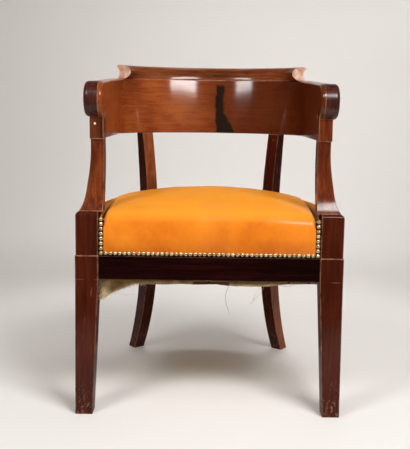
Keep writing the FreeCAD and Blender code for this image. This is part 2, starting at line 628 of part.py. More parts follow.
# Dowels between the arm rails and the back rail, and between the crest and the band
joint_place, joint_away = band_place(JOINT_TURN)
along = Vec(joint_away.y, -joint_away.x, 0)
back_dowels = []
for height in BACK_DOWEL_RISES:
    middle = joint_place + joint_away * lean_shift(lean_at(JOINT_TURN), height)
    middle = Vec(middle.x, middle.y, BAND_BOTTOM + height)
    back_dowels.append(rod(middle - along * DOWEL_REACH, middle + along * DOWEL_REACH, DOWEL_RADIUS))
back_dowels += [mirrored(d) for d in back_dowels]
crest_dowels = []
for turn in [CREST_TURN * part for part in CREST_DOWELS]:
    place, away = band_place(turn)
    middle = place + away * lean_shift(lean_at(turn), BACK_RISE)
    crest_dowels.append(rod(Vec(middle.x, middle.y, BACK_TOP - DOWEL_REACH),
                            Vec(middle.x, middle.y, BACK_TOP + DOWEL_REACH / 2), THIN_DOWEL_RADIUS))
pieces["back_dowels"] = group(back_dowels)
pieces["crest_dowels"] = group(crest_dowels)


# Crest rail
def crest_belly(turn):
    """How far the crest's front stands in: slightly hollow behind the sitter, full at the ends."""
    part = (abs(turn) / CREST_TURN) ** CREST_SWELL_POWER
    return (CREST_BELLY + CREST_HOLLOW) * part - CREST_HOLLOW


def crest_section(turn):
    place, away = band_place(turn)
    base = lean_shift(lean_at(turn), BACK_RISE) - BAND_THICK / 2
    lip_rise = CREST_RISE - CREST_LIP_DROP

    def at(out, height):
        return Vec(place.x + away.x * (base + out), place.y + away.y * (base + out), BACK_TOP + height)
    inner = at(0, 0)
    outer = at(BAND_THICK, 0)
    lip = at(0, lip_rise)
    beak = at(BAND_THICK + CREST_BEAK, lip_rise)
    return Part.Wire([line(inner, outer),
                      smooth([outer, at(BAND_THICK - CREST_WAIST, CREST_WAIST_RISE), beak]),
                      smooth([beak, at(BAND_THICK / 2, CREST_RISE), lip]),
                      smooth([lip, at(-crest_belly(turn), CREST_WAIST_RISE), inner])])


crest_turns = spaced(-CREST_TURN, CREST_TURN, SECTION_TURN)
crest = Part.makeLoft([crest_section(turn) for turn in crest_turns], True, False)
crest_edges = [e for e in crest.Edges
               if e.BoundBox.ZMin > BACK_TOP + CREST_RISE / 2 and e.BoundBox.XLength > BACK_RADIUS]
crest = eased(crest, crest_edges, CREST_EASE)

# Arm supports: a side shape and a front shape sawn from one block
def sweep_y(start, reach, end_y, parts):
    """Side outline from the post up to the arm; parts are (height, reach) as parts of the whole."""
    points = [Vec(0, start + reach * out, POST_TOP + SUPPORT_HEIGHT * height) for height, out in parts]
    return points + [Vec(0, end_y, BAND_BOTTOM)]


front_sweep = sweep_y(SUPPORT_FRONT_Y, SUPPORT_HOLLOW, BLOCK_FRONT_Y + BLOCK_OVERHANG,
                      ((0, 0), (0.1, 0.33), (0.46, 0.89), (0.73, 1)))
rear_sweep = sweep_y(LEG_SIDE, SUPPORT_SWELL, ARM_FRONT_Y, ((0, 0), (0.18, 0.31), (0.5, 0.85), (0.75, 1)))
side_shape = face_of([smooth(front_sweep), line(front_sweep[-1], rear_sweep[-1]), smooth(rear_sweep[::-1]),
                      line(rear_sweep[0], front_sweep[0])]).extrude(Vec(WIDTH, 0, 0))
support_top_x = ARM_INNER_X + BAND_THICK + SUPPORT_TOP_STEP
flare = support_foot_x - support_top_x
outer_sweep = [Vec(support_top_x + flare * out, 0, POST_TOP + SUPPORT_HEIGHT * height)
               for height, out in ((0, 1), (0.09, 0.7), (0.34, 0.36), (0.66, 0.1), (1, 0))]
inner_foot = Vec(ARM_INNER_X, 0, POST_TOP)
inner_top = Vec(ARM_INNER_X, 0, BAND_BOTTOM)
front_shape = face_of([line(inner_foot, inner_top), line(inner_top, outer_sweep[-1]),
                       smooth(outer_sweep[::-1]), line(outer_sweep[0], inner_foot)]).extrude(Vec(0, WIDTH, 0))
support = side_shape.common(front_shape)
support_edges = [e for e in support.Edges if e.BoundBox.ZLength > SUPPORT_HEIGHT / 2]
support = eased(support, support_edges, EDGE_EASE)
support = support.fuse(block(*support_tenon_box)).removeSplitter()

block_outer_x = support_top_x + BLOCK_SIDE_STEP
arm_block = block(ARM_INNER_X, block_outer_x, BLOCK_FRONT_Y, ARM_FRONT_Y, BAND_BOTTOM, ROLL_Z)
roll_room = Part.makeCylinder(ROLL_RADIUS + JOINT_GAP, WIDTH, Vec(0, ROLL_Y, ROLL_Z), Vec(1, 0, 0))
arm_block = arm_block.cut(roll_room)
arm_block = max(arm_block.Solids, key=lambda solid: solid.Volume)

dowel_y = (BLOCK_FRONT_Y + ARM_FRONT_Y) / 2
level_z = BAND_BOTTOM + LEVEL_DOWEL_RISE
level_y = dowel_y + DOWEL_RADIUS + DOWEL_SPACE
upright_dowel = rod(Vec(ARM_X, dowel_y, BAND_BOTTOM - DOWEL_REACH),
                    Vec(ARM_X, dowel_y, ROLL_Z - DOWEL_RADIUS), DOWEL_RADIUS)
level_dowel = rod(Vec(ARM_X, level_y, level_z), Vec(ARM_X, ARM_FRONT_Y + DOWEL_REACH, level_z),
                  THIN_DOWEL_RADIUS)
pieces["arm_dowels"] = group([upright_dowel, level_dowel, mirrored(upright_dowel), mirrored(level_dowel)])

support = support.cut(upright_dowel)
arm_block = arm_block.cut([upright_dowel, level_dowel])
boss = boss.cut(upright_dowel)
arm_rail = arm_rail.cut([upright_dowel, level_dowel] + back_dowels + crest_dowels)
back_rail = back_rail.cut(back_dowels + crest_dowels + [top_mortise, mirrored(top_mortise)])
crest = crest.cut(crest_dowels)
pieces["arm_support_right"] = support
pieces["arm_support_left"] = mirrored(support)
pieces["arm_block_right"] = arm_block
pieces["arm_block_left"] = mirrored(arm_block)
pieces["arm_rail_right"] = arm_rail
pieces["arm_rail_left"] = mirrored(arm_rail)
pieces["arm_boss_right"] = boss
pieces["arm_boss_left"] = mirrored(boss)
pieces["back_rail"] = back_rail
pieces["crest_rail"] = crest


# Stuffing and leather
def crown_z(x, y):
    """Height of the leather: highest over the middle, level along the front and round the back."""
    if y > BACK_CENTRE_Y:
        fall = (math.hypot(x, y - BACK_CENTRE_Y) / COVER_SKIN_RADIUS) ** CROWN_POWER
        return SEAT_EDGE_Z + CROWN_RISE * (1 - fall)
    across_fall = (abs(x) / COVER_SKIN_RADIUS) ** CROWN_POWER
    front_fall = ((BACK_CENTRE_Y - y) / (BACK_CENTRE_Y - COVER_Y)) ** CROWN_POWER
    return SEAT_EDGE_Z + CROWN_RISE * (1 - across_fall) * (1 - front_fall)


def under_crown(skin):
    """Everything below the crown, as wide as the chair."""
    half = WIDTH / 2
    rear = BACK_CENTRE_Y + half
    grid = [[Vec(x, y, crown_z(x, y) - skin) for y in spaced(0, rear, CROWN_STEP)]
            for x in spaced(-half, half, CROWN_STEP)]
    top = Part.BSplineSurface()
    top.interpolate(grid)
    return top.toShape().extrude(Vec(0, 0, -WIDTH))


def leg_rooms(gap):
    """Room for all four legs, to cut from a cloth."""
    corner = block(LEG_INNER_X - gap, WIDTH, -WIDTH, LEG_SIDE + gap, 0, ABOVE_SEAT)
    return [corner, mirrored(corner), rear_leg_hole(gap, 0, ABOVE_SEAT)]


def crowned_seat(skin):
    """The stuffed seat's whole form; skin is its distance inside the leather's outer face."""
    slab = seat_slab(COVER_SKIN_RADIUS - skin, COVER_Y + skin, BLOCK_TOP + JOINT_GAP, ABOVE_SEAT)
    form = slab.common(under_crown(skin))
    rim = [e for e in form.Edges if e.BoundBox.ZMin > PAD_Z
           and max(e.BoundBox.XLength, e.BoundBox.YLength) > e.BoundBox.ZLength]
    form = eased(form, rim, SEAT_EDGE_ROUND - skin)
    gap = STILE_CLEARANCE + skin
    support_room = block(ARM_INNER_X - gap, WIDTH, SUPPORT_FRONT_Y - gap, LEG_SIDE + 3 * gap,
                         POST_TOP - gap, ABOVE_SEAT)
    return form.cut(leg_rooms(gap) + [support_room, mirrored(support_room)])


outer_form = crowned_seat(0)
inner_form = crowned_seat(LEATHER)
land_room = roomy_block([LEG_INNER_X - LAND_WIDTH, LEG_INNER_X, REBATE_Y, REBATE_Y + LAND_DEPTH, 0, LAND_TOP])
all_lands = group([land_room, mirrored(land_room)])
column_spots = left_column_spots + right_column_spots
cover_holes = shanks(front_spots + column_spots + left_spots + right_spots + rear_spots)
frame_room = seat_slab(REBATE_RADIUS, REBATE_Y, 0, PAD_Z)
leather = outer_form.cut(inner_form).cut([all_lands, cover_holes, frame_room])
pieces["leather_cover"] = max(leather.Solids, key=lambda solid: solid.Volume)
pad_room = block(-WIDTH, WIDTH, -WIDTH, 2 * WIDTH, PAD_Z + JOINT_GAP, ABOVE_SEAT)
pad_form = crowned_seat(LEATHER + LEATHER_GAP)
pieces["stuffing_pad"] = pad_form.common(pad_room).cut([all_lands, cover_holes])

pieces["nails_front"] = nails_at(front_spots)
pieces["nails_post_left"] = nails_at(left_column_spots)
pieces["nails_post_right"] = nails_at(right_column_spots)
pieces["nails_left"] = nails_at(left_spots)
pieces["nails_right"] = nails_at(right_spots)
pieces["nails_rear"] = nails_at(rear_spots)

# Canvas over the springs
canvas = seat_slab(REBATE_RADIUS - CANVAS_INSET, REBATE_Y + CANVAS_INSET, CANVAS_Z, PAD_Z)
pieces["spring_canvas"] = canvas.cut(leg_rooms(STILE_CLEARANCE))

# Webbing under the rails
strap_half = STRAP_WIDTH / 2
strap_room = seat_slab(strap_end_radius, strap_front_y, cross_z, RAIL_BOTTOM)
lengthwise = [block(x - strap_half, x + strap_half, 0, 2 * WIDTH, strap_z, RAIL_BOTTOM).common(strap_room)
              for x in lengthwise_xs]
crosswise = [block(-WIDTH, WIDTH, y - strap_half, y + strap_half, cross_z, strap_z).common(strap_room)
             for y in crosswise_ys]
pieces["webbing_lengthwise"] = group([strap.cut(tack_holes) for strap in lengthwise])
pieces["webbing_crosswise"] = group([strap.cut(tack_holes) for strap in crosswise])
pieces["webbing_tacks"] = tacks_at(lengthwise_tacks + crosswise_tacks)


# Springs
def spring_at(x, y):
    low = RAIL_BOTTOM + WIRE_RADIUS + SPRING_GAP
    high = RAIL_TOP - 4 * TWINE_RADIUS - WIRE_RADIUS - SPRING_GAP
    steps = 10 * SPRING_TURNS
    points = []
    for i in range(steps + 1):
        part = i / steps
        swell = abs(2 * part - 1) ** 1.5
        radius = SPRING_WAIST_RADIUS + (SPRING_END_RADIUS - SPRING_WAIST_RADIUS) * swell
        angle = math.pi / 2 + 2 * math.pi * SPRING_TURNS * part
        climb = min(max((part - FLAT_END) / (1 - 2 * FLAT_END), 0), 1)
        z = low + (high - low) * climb
        points.append(Vec(x + radius * math.cos(angle), y + radius * math.sin(angle), z))
    coil = smooth(points)
    start = points[0]
    wire = Part.Wire(Part.makeCircle(WIRE_RADIUS, start, coil.tangentAt(coil.FirstParameter)))
    return Part.Wire(coil).makePipeShell([wire], True, True)


pieces["seat_springs"] = group([spring_at(x, BACK_CENTRE_Y + step) for x, step in SPRING_PLACES])

# Twine from rail to rail over the springs, in two layers that cross
inner_front_y = RAIL_SETBACK + RAIL_THICK
twine_low = RAIL_TOP - 3 * TWINE_RADIUS
twine_high = RAIL_TOP - TWINE_RADIUS
twine = []
for x in sorted({place[0] for place in SPRING_PLACES}):
    rear_end = round_y(x, inner_radius) - TWINE_END_GAP
    twine.append(rod(Vec(x, inner_front_y, twine_low), Vec(x, rear_end, twine_low), TWINE_RADIUS))
for step in sorted({place[1] for place in SPRING_PLACES}):
    y = BACK_CENTRE_Y + step
    reach = round_x(y, inner_radius) - TWINE_END_GAP
    twine.append(rod(Vec(-reach, y, twine_high), Vec(reach, y, twine_high), TWINE_RADIUS))
pieces["spring_twine"] = group(twine)

# Dust cover: torn away at the left front, where a corner of it hangs down
cover = seat_slab(cover_radius, cover_front_y, cover_z, cross_z)
tear = outline([Vec(-WIDTH, 0, 0), Vec(flap_end_x, 0, 0), Vec(-SEAT_RADIUS, TEAR_LENGTH, 0),
                Vec(-WIDTH, TEAR_LENGTH, 0)])
tear = Part.Face(tear).extrude(Vec(0, 0, ABOVE_SEAT))
flap_tip = Vec(flap_start_x + FLAP_TIP_INSET, cover_front_y, cross_z - FLAP_DROP)
flap_notch = Vec(flap_start_x + FLAP_NOTCH_INSET, cover_front_y, cross_z - FLAP_NOTCH_DROP)
flap = outline([Vec(flap_start_x, cover_front_y, cross_z), Vec(flap_end_x, cover_front_y, cross_z),
                Vec(flap_end_x, cover_front_y, cover_z), flap_notch, flap_tip])
flap = Part.Face(flap).extrude(Vec(0, COVER_THICK, 0))
cover = cover.cut([tear] + leg_rooms(COVER_CLEARANCE)).fuse(flap).removeSplitter()
pieces["dust_cover"] = cover.cut(tack_holes)
pieces["dust_cover_tacks"] = tacks_at(cover_tacks)

# Centre the chair on the origin and write each piece
back_y = pieces["crest_rail"].optimalBoundingBox(False, False).YMax
shift = Vec(0, -back_y / 2, 0)
os.makedirs("parts", exist_ok=True)
for name, shape in pieces.items():
    shape.translate(shift)
    shape.exportStep("parts/" + name + ".step")
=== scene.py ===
import math
import random

import bmesh
import bpy
from mathutils import Matrix, Vector, noise


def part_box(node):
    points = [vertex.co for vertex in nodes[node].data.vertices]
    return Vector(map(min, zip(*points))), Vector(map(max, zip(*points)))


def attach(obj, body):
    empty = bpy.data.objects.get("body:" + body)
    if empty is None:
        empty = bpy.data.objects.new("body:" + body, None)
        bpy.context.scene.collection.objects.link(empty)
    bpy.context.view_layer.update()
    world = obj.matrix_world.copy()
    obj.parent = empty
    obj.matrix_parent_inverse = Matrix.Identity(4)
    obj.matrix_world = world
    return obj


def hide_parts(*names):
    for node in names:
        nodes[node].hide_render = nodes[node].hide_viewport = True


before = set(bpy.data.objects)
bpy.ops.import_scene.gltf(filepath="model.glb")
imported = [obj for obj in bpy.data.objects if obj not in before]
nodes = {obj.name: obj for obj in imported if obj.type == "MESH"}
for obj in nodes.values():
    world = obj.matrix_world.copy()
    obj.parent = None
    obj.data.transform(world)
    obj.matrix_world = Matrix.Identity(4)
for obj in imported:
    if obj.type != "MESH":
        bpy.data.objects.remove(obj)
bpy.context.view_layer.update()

# Camera: where it stands, how it is turned and how far it is zoomed in, for an image of 410 by 449 pixels
IMAGE_WIDTH = 410
IMAGE_HEIGHT = 449
FOCAL_PIXELS = 774.2
CAMERA_PLACE = Vector((-0.0042, -1.9225, 0.678))
CAMERA_PITCH = 8.62
CAMERA_YAW = -0.21
CAMERA_ROLL = 0.76
SENSOR = 36.0

# Seat, read from the frame where it can be
SKIN_LOW, SKIN_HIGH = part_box("leather_cover")
POST_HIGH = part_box("front_leg_right")[1]
RAIL_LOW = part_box("seat_rail_front")[0]
NAIL_LOW, NAIL_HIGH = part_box("nails_front")
STRAP_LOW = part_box("webbing_lengthwise")[0]
COVER_LOW, COVER_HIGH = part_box("dust_cover")
SEAT_RADIUS = SKIN_HIGH.x
SEAT_FRONT = SKIN_LOW.y
BACK_CENTRE = SKIN_HIGH.y - SEAT_RADIUS
POST_SPAN = 0.053
POST_INNER = POST_HIGH.x - POST_SPAN
POST_REAR = POST_HIGH.y
NAIL_STRIP = 0.0125
STRIP_INNER = POST_INNER - NAIL_STRIP
REAR_TURN = math.radians(37.0)
STILE_INSET = 0.0123
STILE_RADIUS = SEAT_RADIUS - STILE_INSET
STILE_HALF_WIDTH = 0.016
STILE_HALF_DEPTH = 0.020

# Crown of the seat and the folds in it
EDGE_BELOW_POST = 0.006
EDGE_Z = POST_HIGH.z - EDGE_BELOW_POST
CROWN = 0.036
CROWN_SIDE_POWER = 2.0
CROWN_FRONT_POWER = 3.0
FRONT_PART_END = 0.04
FRONT_PART_LENGTH = 0.14
SHOULDER_X = 0.226
SHOULDER_DROP = 0.008
SHOULDER_WIDTH = 0.022
REAR_SHOULDER_WIDER = 0.040
REAR_SHOULDER_INWARD = 0.024
FOLD_X = 0.2315
FOLD_DEPTH = 0.014
FOLD_WIDTH = 0.0055
STILE_DIMPLE = 0.010
STILE_DIMPLE_WIDTH = 0.022
LUMPS = 0.0010
LUMPS_SCALE = 14
LUMPS_LAYER = 3.0

# Rim, wall and underside of the seat
RIM_RADIUS = 0.030
RIM_STEPS = 4
WALL_CLEAR = 0.001
WALL_ROWS = 9
WALL_BULGE = 0.003
BULGE_END = 0.9
STRIP_EASE = 0.015
LEATHER = 0.003
HEM_TOP = 0.75
UNDERSIDE_RISE = 0.018
UNDERSIDE_Z = NAIL_HIGH.z + UNDERSIDE_RISE
CELLS_ACROSS = 132
CELLS_DEEP = 64
HELD_ABOVE_NAILS = 0.001
HELD_FRONT = 0.004
TUCK_REACH = 0.012

# Blocks that cut cloths clear of the legs
CUT_REACH = 0.06
CUT_LOW = 0.2
CUT_HIGH = 0.7


# Materials
class Finish:
    """A material under construction. Most methods add a node or two and return an output socket."""

    def __init__(self, name):
        self.material = bpy.data.materials.new(name)
        self.material.use_nodes = True
        self.tree = self.material.node_tree
        self.bsdf = self.tree.nodes["Principled BSDF"]
        self.place = self.add("ShaderNodeTexCoord").outputs["Object"]

    def put(self, socket, value):
        if isinstance(value, bpy.types.NodeSocket):
            self.tree.links.new(value, socket)
        else:
            socket.default_value = value

    def add(self, kind, inputs=None, **settings):
        node = self.tree.nodes.new(kind)
        for name, value in settings.items():
            setattr(node, name, value)
        for name, value in (inputs or {}).items():
            self.put(node.inputs[name], value)
        return node

    def surface(self, **inputs):
        for name, value in inputs.items():
            self.put(self.bsdf.inputs[name.replace("_", " ")], value)

    def stretched(self, scale, turn=(0, 0, 0)):
        inputs = {"Vector": self.place, "Scale": scale, "Rotation": turn}
        return self.add("ShaderNodeMapping", inputs).outputs[0]

    def noise(self, vector, scale, detail=4.0, roughness=0.55, distortion=0.0):
        inputs = {"Vector": vector, "Scale": scale, "Detail": detail, "Roughness": roughness}
        return self.add("ShaderNodeTexNoise", inputs | {"Distortion": distortion}).outputs[0]

    def cells(self, scale):
        inputs = {"Vector": self.place, "Scale": scale}
        return self.add("ShaderNodeTexVoronoi", inputs, feature="DISTANCE_TO_EDGE").outputs[0]

    def bands(self, vector, scale, distortion):
        inputs = {"Vector": vector, "Scale": scale, "Distortion": distortion, "Detail": 2.0}
        return self.add("ShaderNodeTexWave", inputs, bands_direction="X").outputs["Fac"]

    def ramp(self, value, *stops):
        node = self.add("ShaderNodeValToRGB", {"Fac": value})
        elements = node.color_ramp.elements
        while len(elements) < len(stops):
            elements.new(0.5)
        for element, (place, colour) in zip(elements, stops):
            element.position = place
            element.color = (*colour, 1)
        return node.outputs["Color"]

    def spread(self, value, low, high, out_low=0.0, out_high=1.0):
        """Maps low to high onto out_low to out_high, and holds the ends."""
        inputs = {"Value": value, "From Min": low, "From Max": high, "To Min": out_low, "To Max": out_high}
        return self.add("ShaderNodeMapRange", inputs).outputs[0]

    def maths(self, operation, a, b=0.0):
        node = self.add("ShaderNodeMath", operation=operation)
        self.put(node.inputs[0], a)
        self.put(node.inputs[1], b)
        return node.outputs[0]

    def times(self, *values):
        product = values[0]
        for value in values[1:]:
            product = self.maths("MULTIPLY", product, value)
        return product

    def off(self, value, centre):
        """How far a value lies from a centre, to either side."""
        return self.maths("ABSOLUTE", self.maths("SUBTRACT", value, centre))

    def wandering(self, value, scale, amount):
        """A value with some noise added to it."""
        shift = self.maths("SUBTRACT", self.noise(self.place, scale, detail=3.0), 0.5)
        return self.maths("ADD", value, self.times(shift, amount))

    def mix(self, part, a, b):
        """Blends two colours. Inputs 6 and 7 and output 2 are the node's colour sockets."""
        node = self.add("ShaderNodeMix", data_type="RGBA")
        self.put(node.inputs[0], part)
        self.put(node.inputs[6], a if isinstance(a, bpy.types.NodeSocket) else (*a, 1))
        self.put(node.inputs[7], b if isinstance(b, bpy.types.NodeSocket) else (*b, 1))
        return node.outputs[2]

    def bump(self, height, strength, distance):
        inputs = {"Height": height, "Strength": strength, "Distance": distance}
        return self.add("ShaderNodeBump", inputs).outputs[0]

    def worn_edge(self, radius):
        """1 along sharp edges, 0 on flat stretches."""
        rounded = self.add("ShaderNodeBevel", {"Radius": radius}, samples=6).outputs[0]
        flat = self.add("ShaderNodeNewGeometry").outputs["Normal"]
        dot = self.add("ShaderNodeVectorMath", operation="DOT_PRODUCT")
        self.put(dot.inputs[0], rounded)
        self.put(dot.inputs[1], flat)
        return self.spread(dot.outputs["Value"], 0.998, 0.90)

    def blend(self, part, shader):
        """Shows another shader in place of part of the surface."""
        both = self.add("ShaderNodeMixShader", {"Fac": part})
        self.put(both.inputs[1], self.bsdf.outputs[0])
        self.put(both.inputs[2], shader.outputs[0])
        self.put(self.tree.nodes["Material Output"].inputs["Surface"], both.outputs[0])

    def axes(self):
        """Outputs X, Y and Z of the place on the piece, in metres."""
        return self.add("ShaderNodeSeparateXYZ", {"Vector": self.place}).outputs

    def facing(self):
        """Outputs X, Y and Z of the direction the surface faces."""
        normal = self.add("ShaderNodeNewGeometry").outputs["Normal"]
        return self.add("ShaderNodeSeparateXYZ", {"Vector": normal}).outputs


# Grain directions, and the dark, middle and light tones of each wood
ALONG_X = (1.0, 14.0, 14.0)
ALONG_Z = (14.0, 14.0, 1.0)
ROUND_BACK = (2.0, 2.0, 22.0)
LEG_TONES = (0.026, 0.004, 0.0015), (0.052, 0.008, 0.003), (0.082, 0.014, 0.005)
SUPPORT_TONES = (0.045, 0.007, 0.003), (0.12, 0.022, 0.006), (0.21, 0.050, 0.013)
BLOCK_TONES = (0.035, 0.007, 0.003), (0.08, 0.018, 0.006), (0.14, 0.036, 0.011)
BACK_TONES = (0.11, 0.020, 0.005), (0.23, 0.050, 0.011), (0.34, 0.088, 0.020)
CREST_TONES = (0.06, 0.014, 0.005), (0.16, 0.042, 0.014), (0.25, 0.078, 0.026)
ROLL_TONES = (0.014, 0.004, 0.003), (0.045, 0.010, 0.007), (0.085, 0.020, 0.012)
# The seat rails' near-black tones are partly a dark stain and partly painted shade
RAIL_TONES = (0.002, 0.0004, 0.0004), (0.008, 0.0010, 0.0008), (0.020, 0.0025, 0.002)
BEECH_TONES = (0.42, 0.27, 0.14), (0.55, 0.38, 0.22), (0.64, 0.47, 0.29)
PALE_WORN = (0.50, 0.25, 0.15)
CREST_WORN = (0.62, 0.36, 0.25)
BEECH_WORN = (0.7, 0.55, 0.38)


def wood(name, tones, grain, worn=PALE_WORN, wear=0.7, gloss=0.20, clouding=0.38, marks=None, polish=0.75,
         satin=0.14):
    """Polished wood: streaks along the grain, cloudy patina, fine pores and rubbed edges."""
    f = Finish(name)
    dark, middle, light = tones
    along = f.stretched(grain)
    streaks = f.noise(along, scale=7.0, detail=8.0, roughness=0.62, distortion=0.6)
    clouds = f.noise(f.place, scale=5.0, detail=3.0)
    tone = f.maths("ADD", f.times(streaks, 1 - clouding), f.times(clouds, clouding))
    colour = f.ramp(tone, (0.36, dark), (0.50, middle), (0.64, light))
    pores = f.spread(f.noise(along, scale=60.0, detail=3.0, roughness=0.5), 0.56, 0.72)
    colour = f.mix(f.times(pores, 0.5), colour, dark)
    if marks:
        colour = marks(f, colour)
    rubbed = f.spread(f.noise(f.place, scale=45.0, detail=5.0, roughness=0.65), 0.32, 0.56)
    edge = f.times(f.worn_edge(radius=0.003), rubbed, wear)
    colour = f.mix(edge, colour, worn)
    smears = f.spread(f.noise(f.place, scale=16.0, detail=5.0, roughness=0.6), 0.35, 0.7)
    swells = f.maths("SUBTRACT", f.noise(f.place, scale=9.0, detail=2.0), f.times(pores, 0.05))
    dulled = f.spread(smears, 0, 1, gloss, gloss + 0.16)
    f.surface(Base_Color=colour, Roughness=f.maths("ADD", dulled, f.times(edge, 0.25)),
              Normal=f.bump(swells, strength=0.25, distance=0.002), Specular_IOR_Level=0.0)
    f.surface(Coat_Weight=f.spread(smears, 0, 1, polish, polish * 0.7), Coat_Roughness=satin)
    return f.material


def scuffed_feet(f, colour):
    """Pale knocks near the floor, a broken line level with the rail's lower edge, and fine scratches."""
    knocked = (0.42, 0.19, 0.11)
    scratched = (0.36, 0.15, 0.08)
    axis = f.axes()
    knocks = f.spread(f.noise(f.stretched((1, 1, 0.45)), scale=150.0, detail=5.0, roughness=0.7), 0.56, 0.66)
    near_floor = f.spread(axis["Z"], 0.085, 0.0)
    colour = f.mix(f.times(knocks, near_floor, 0.75), colour, knocked)
    line = f.spread(f.off(axis["Z"], RAIL_LOW.z), 0.0016, 0.0006)
    in_front = f.spread(axis["Y"], -0.2, -0.21)
    broken = f.spread(f.noise(f.place, scale=55.0, detail=3.0), 0.40, 0.62, 0.0, 0.28)
    colour = f.mix(f.times(line, in_front, broken), colour, PALE_WORN)
    fine = f.noise(f.stretched((1, 1, 0.15)), scale=110.0, detail=3.0, roughness=0.6)
    return f.mix(f.times(f.spread(fine, 0.66, 0.74), 0.35), colour, scratched)


def scuffed_and_lit_stile(f, colour):
    """Scuffed feet, and painted light on the faces that face right: high on the left leg, low on the right
    one.
    """
    brown = (0.17, 0.045, 0.015)
    pale_brown = (0.31, 0.090, 0.030)
    axis = f.axes()
    # Painted light on the faces that face right
    left = f.times(f.spread(axis["Z"], 0.43, 0.50), f.spread(axis["X"], 0.0, -0.02))
    right = f.times(f.spread(axis["Z"], 0.40, 0.33), f.spread(axis["X"], 0.0, 0.02))
    lit_faces = f.times(f.maths("ADD", left, right), f.spread(f.facing()["X"], 0.15, 0.4))
    grain = f.noise(f.stretched((1, 1, 0.08)), scale=140.0, detail=3.0)
    browns = f.ramp(grain, (0.35, brown), (0.65, pale_brown))
    return f.mix(f.times(lit_faces, 0.9), scuffed_feet(f, colour), browns)


def shaded_right_side(f, colour):
    """Painted shade: the right of the horseshoe is darkened, the left stays lighter as if lit."""
    shade_brown = (0.045, 0.006, 0.001)
    drift = f.wandering(f.axes()["X"], scale=7.0, amount=0.25)
    return f.mix(f.spread(drift, -0.12, 0.12, 0.0, 0.80), colour, shade_brown)


def painted_dark_reflection(f, colour):
    """A painted dark reflection: a near-black streak right of the middle that spreads towards the lower edge,
    on the inner face only, over the painted shade on the right.
    """
    reflection_black = (0.008, 0.006, 0.004)
    right_edge = 0.038
    widens_below = 0.664
    slope = 0.62
    z = f.axes()["Z"]
    x = f.wandering(f.axes()["X"], scale=38.0, amount=0.016)
    spread_below = f.times(f.maths("MAXIMUM", f.maths("SUBTRACT", widens_below, z), 0.0), slope)
    inward = f.maths("SUBTRACT", f.maths("ADD", spread_below, right_edge), x)
    streak = f.times(f.spread(x, 0.010, 0.015), f.spread(inward, 0.0, 0.007), f.spread(z, 0.742, 0.734))
    inside = f.spread(f.facing()["Y"], 0.0, -0.2)
    return f.mix(f.times(streak, inside, 0.95), shaded_right_side(f, colour), reflection_black)


def bare_ends(f, colour):
    """The crest's two sawn ends, where the polish has worn to pale wood."""
    bare = (0.50, 0.24, 0.14)
    pale_bare = (0.80, 0.56, 0.44)
    sideways_share = 0.5
    forward_share = 0.866
    normal = f.facing()
    sideways = f.times(f.maths("ABSOLUTE", normal["X"]), sideways_share)
    facing = f.maths("SUBTRACT", sideways, f.times(normal["Y"], forward_share))
    far_out = f.spread(f.maths("ABSOLUTE", f.axes()["X"]), 0.19, 0.195)
    patches = f.ramp(f.noise(f.place, scale=60.0), (0.35, bare), (0.65, pale_bare))
    return f.mix(f.times(f.spread(facing, 0.97, 0.99), far_out), colour, patches)


def small_plug(f, colour):
    """A pale filled hole in the front of the block under the left roll."""
    filling = (0.80, 0.66, 0.54)
    centre = (-0.249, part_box("arm_block_left")[0].y, 0.6405)
    gap = f.add("ShaderNodeVectorMath", {0: f.place, 1: centre}, operation="DISTANCE").outputs["Value"]
    return f.mix(f.spread(gap, 0.0027, 0.0017), colour, filling)


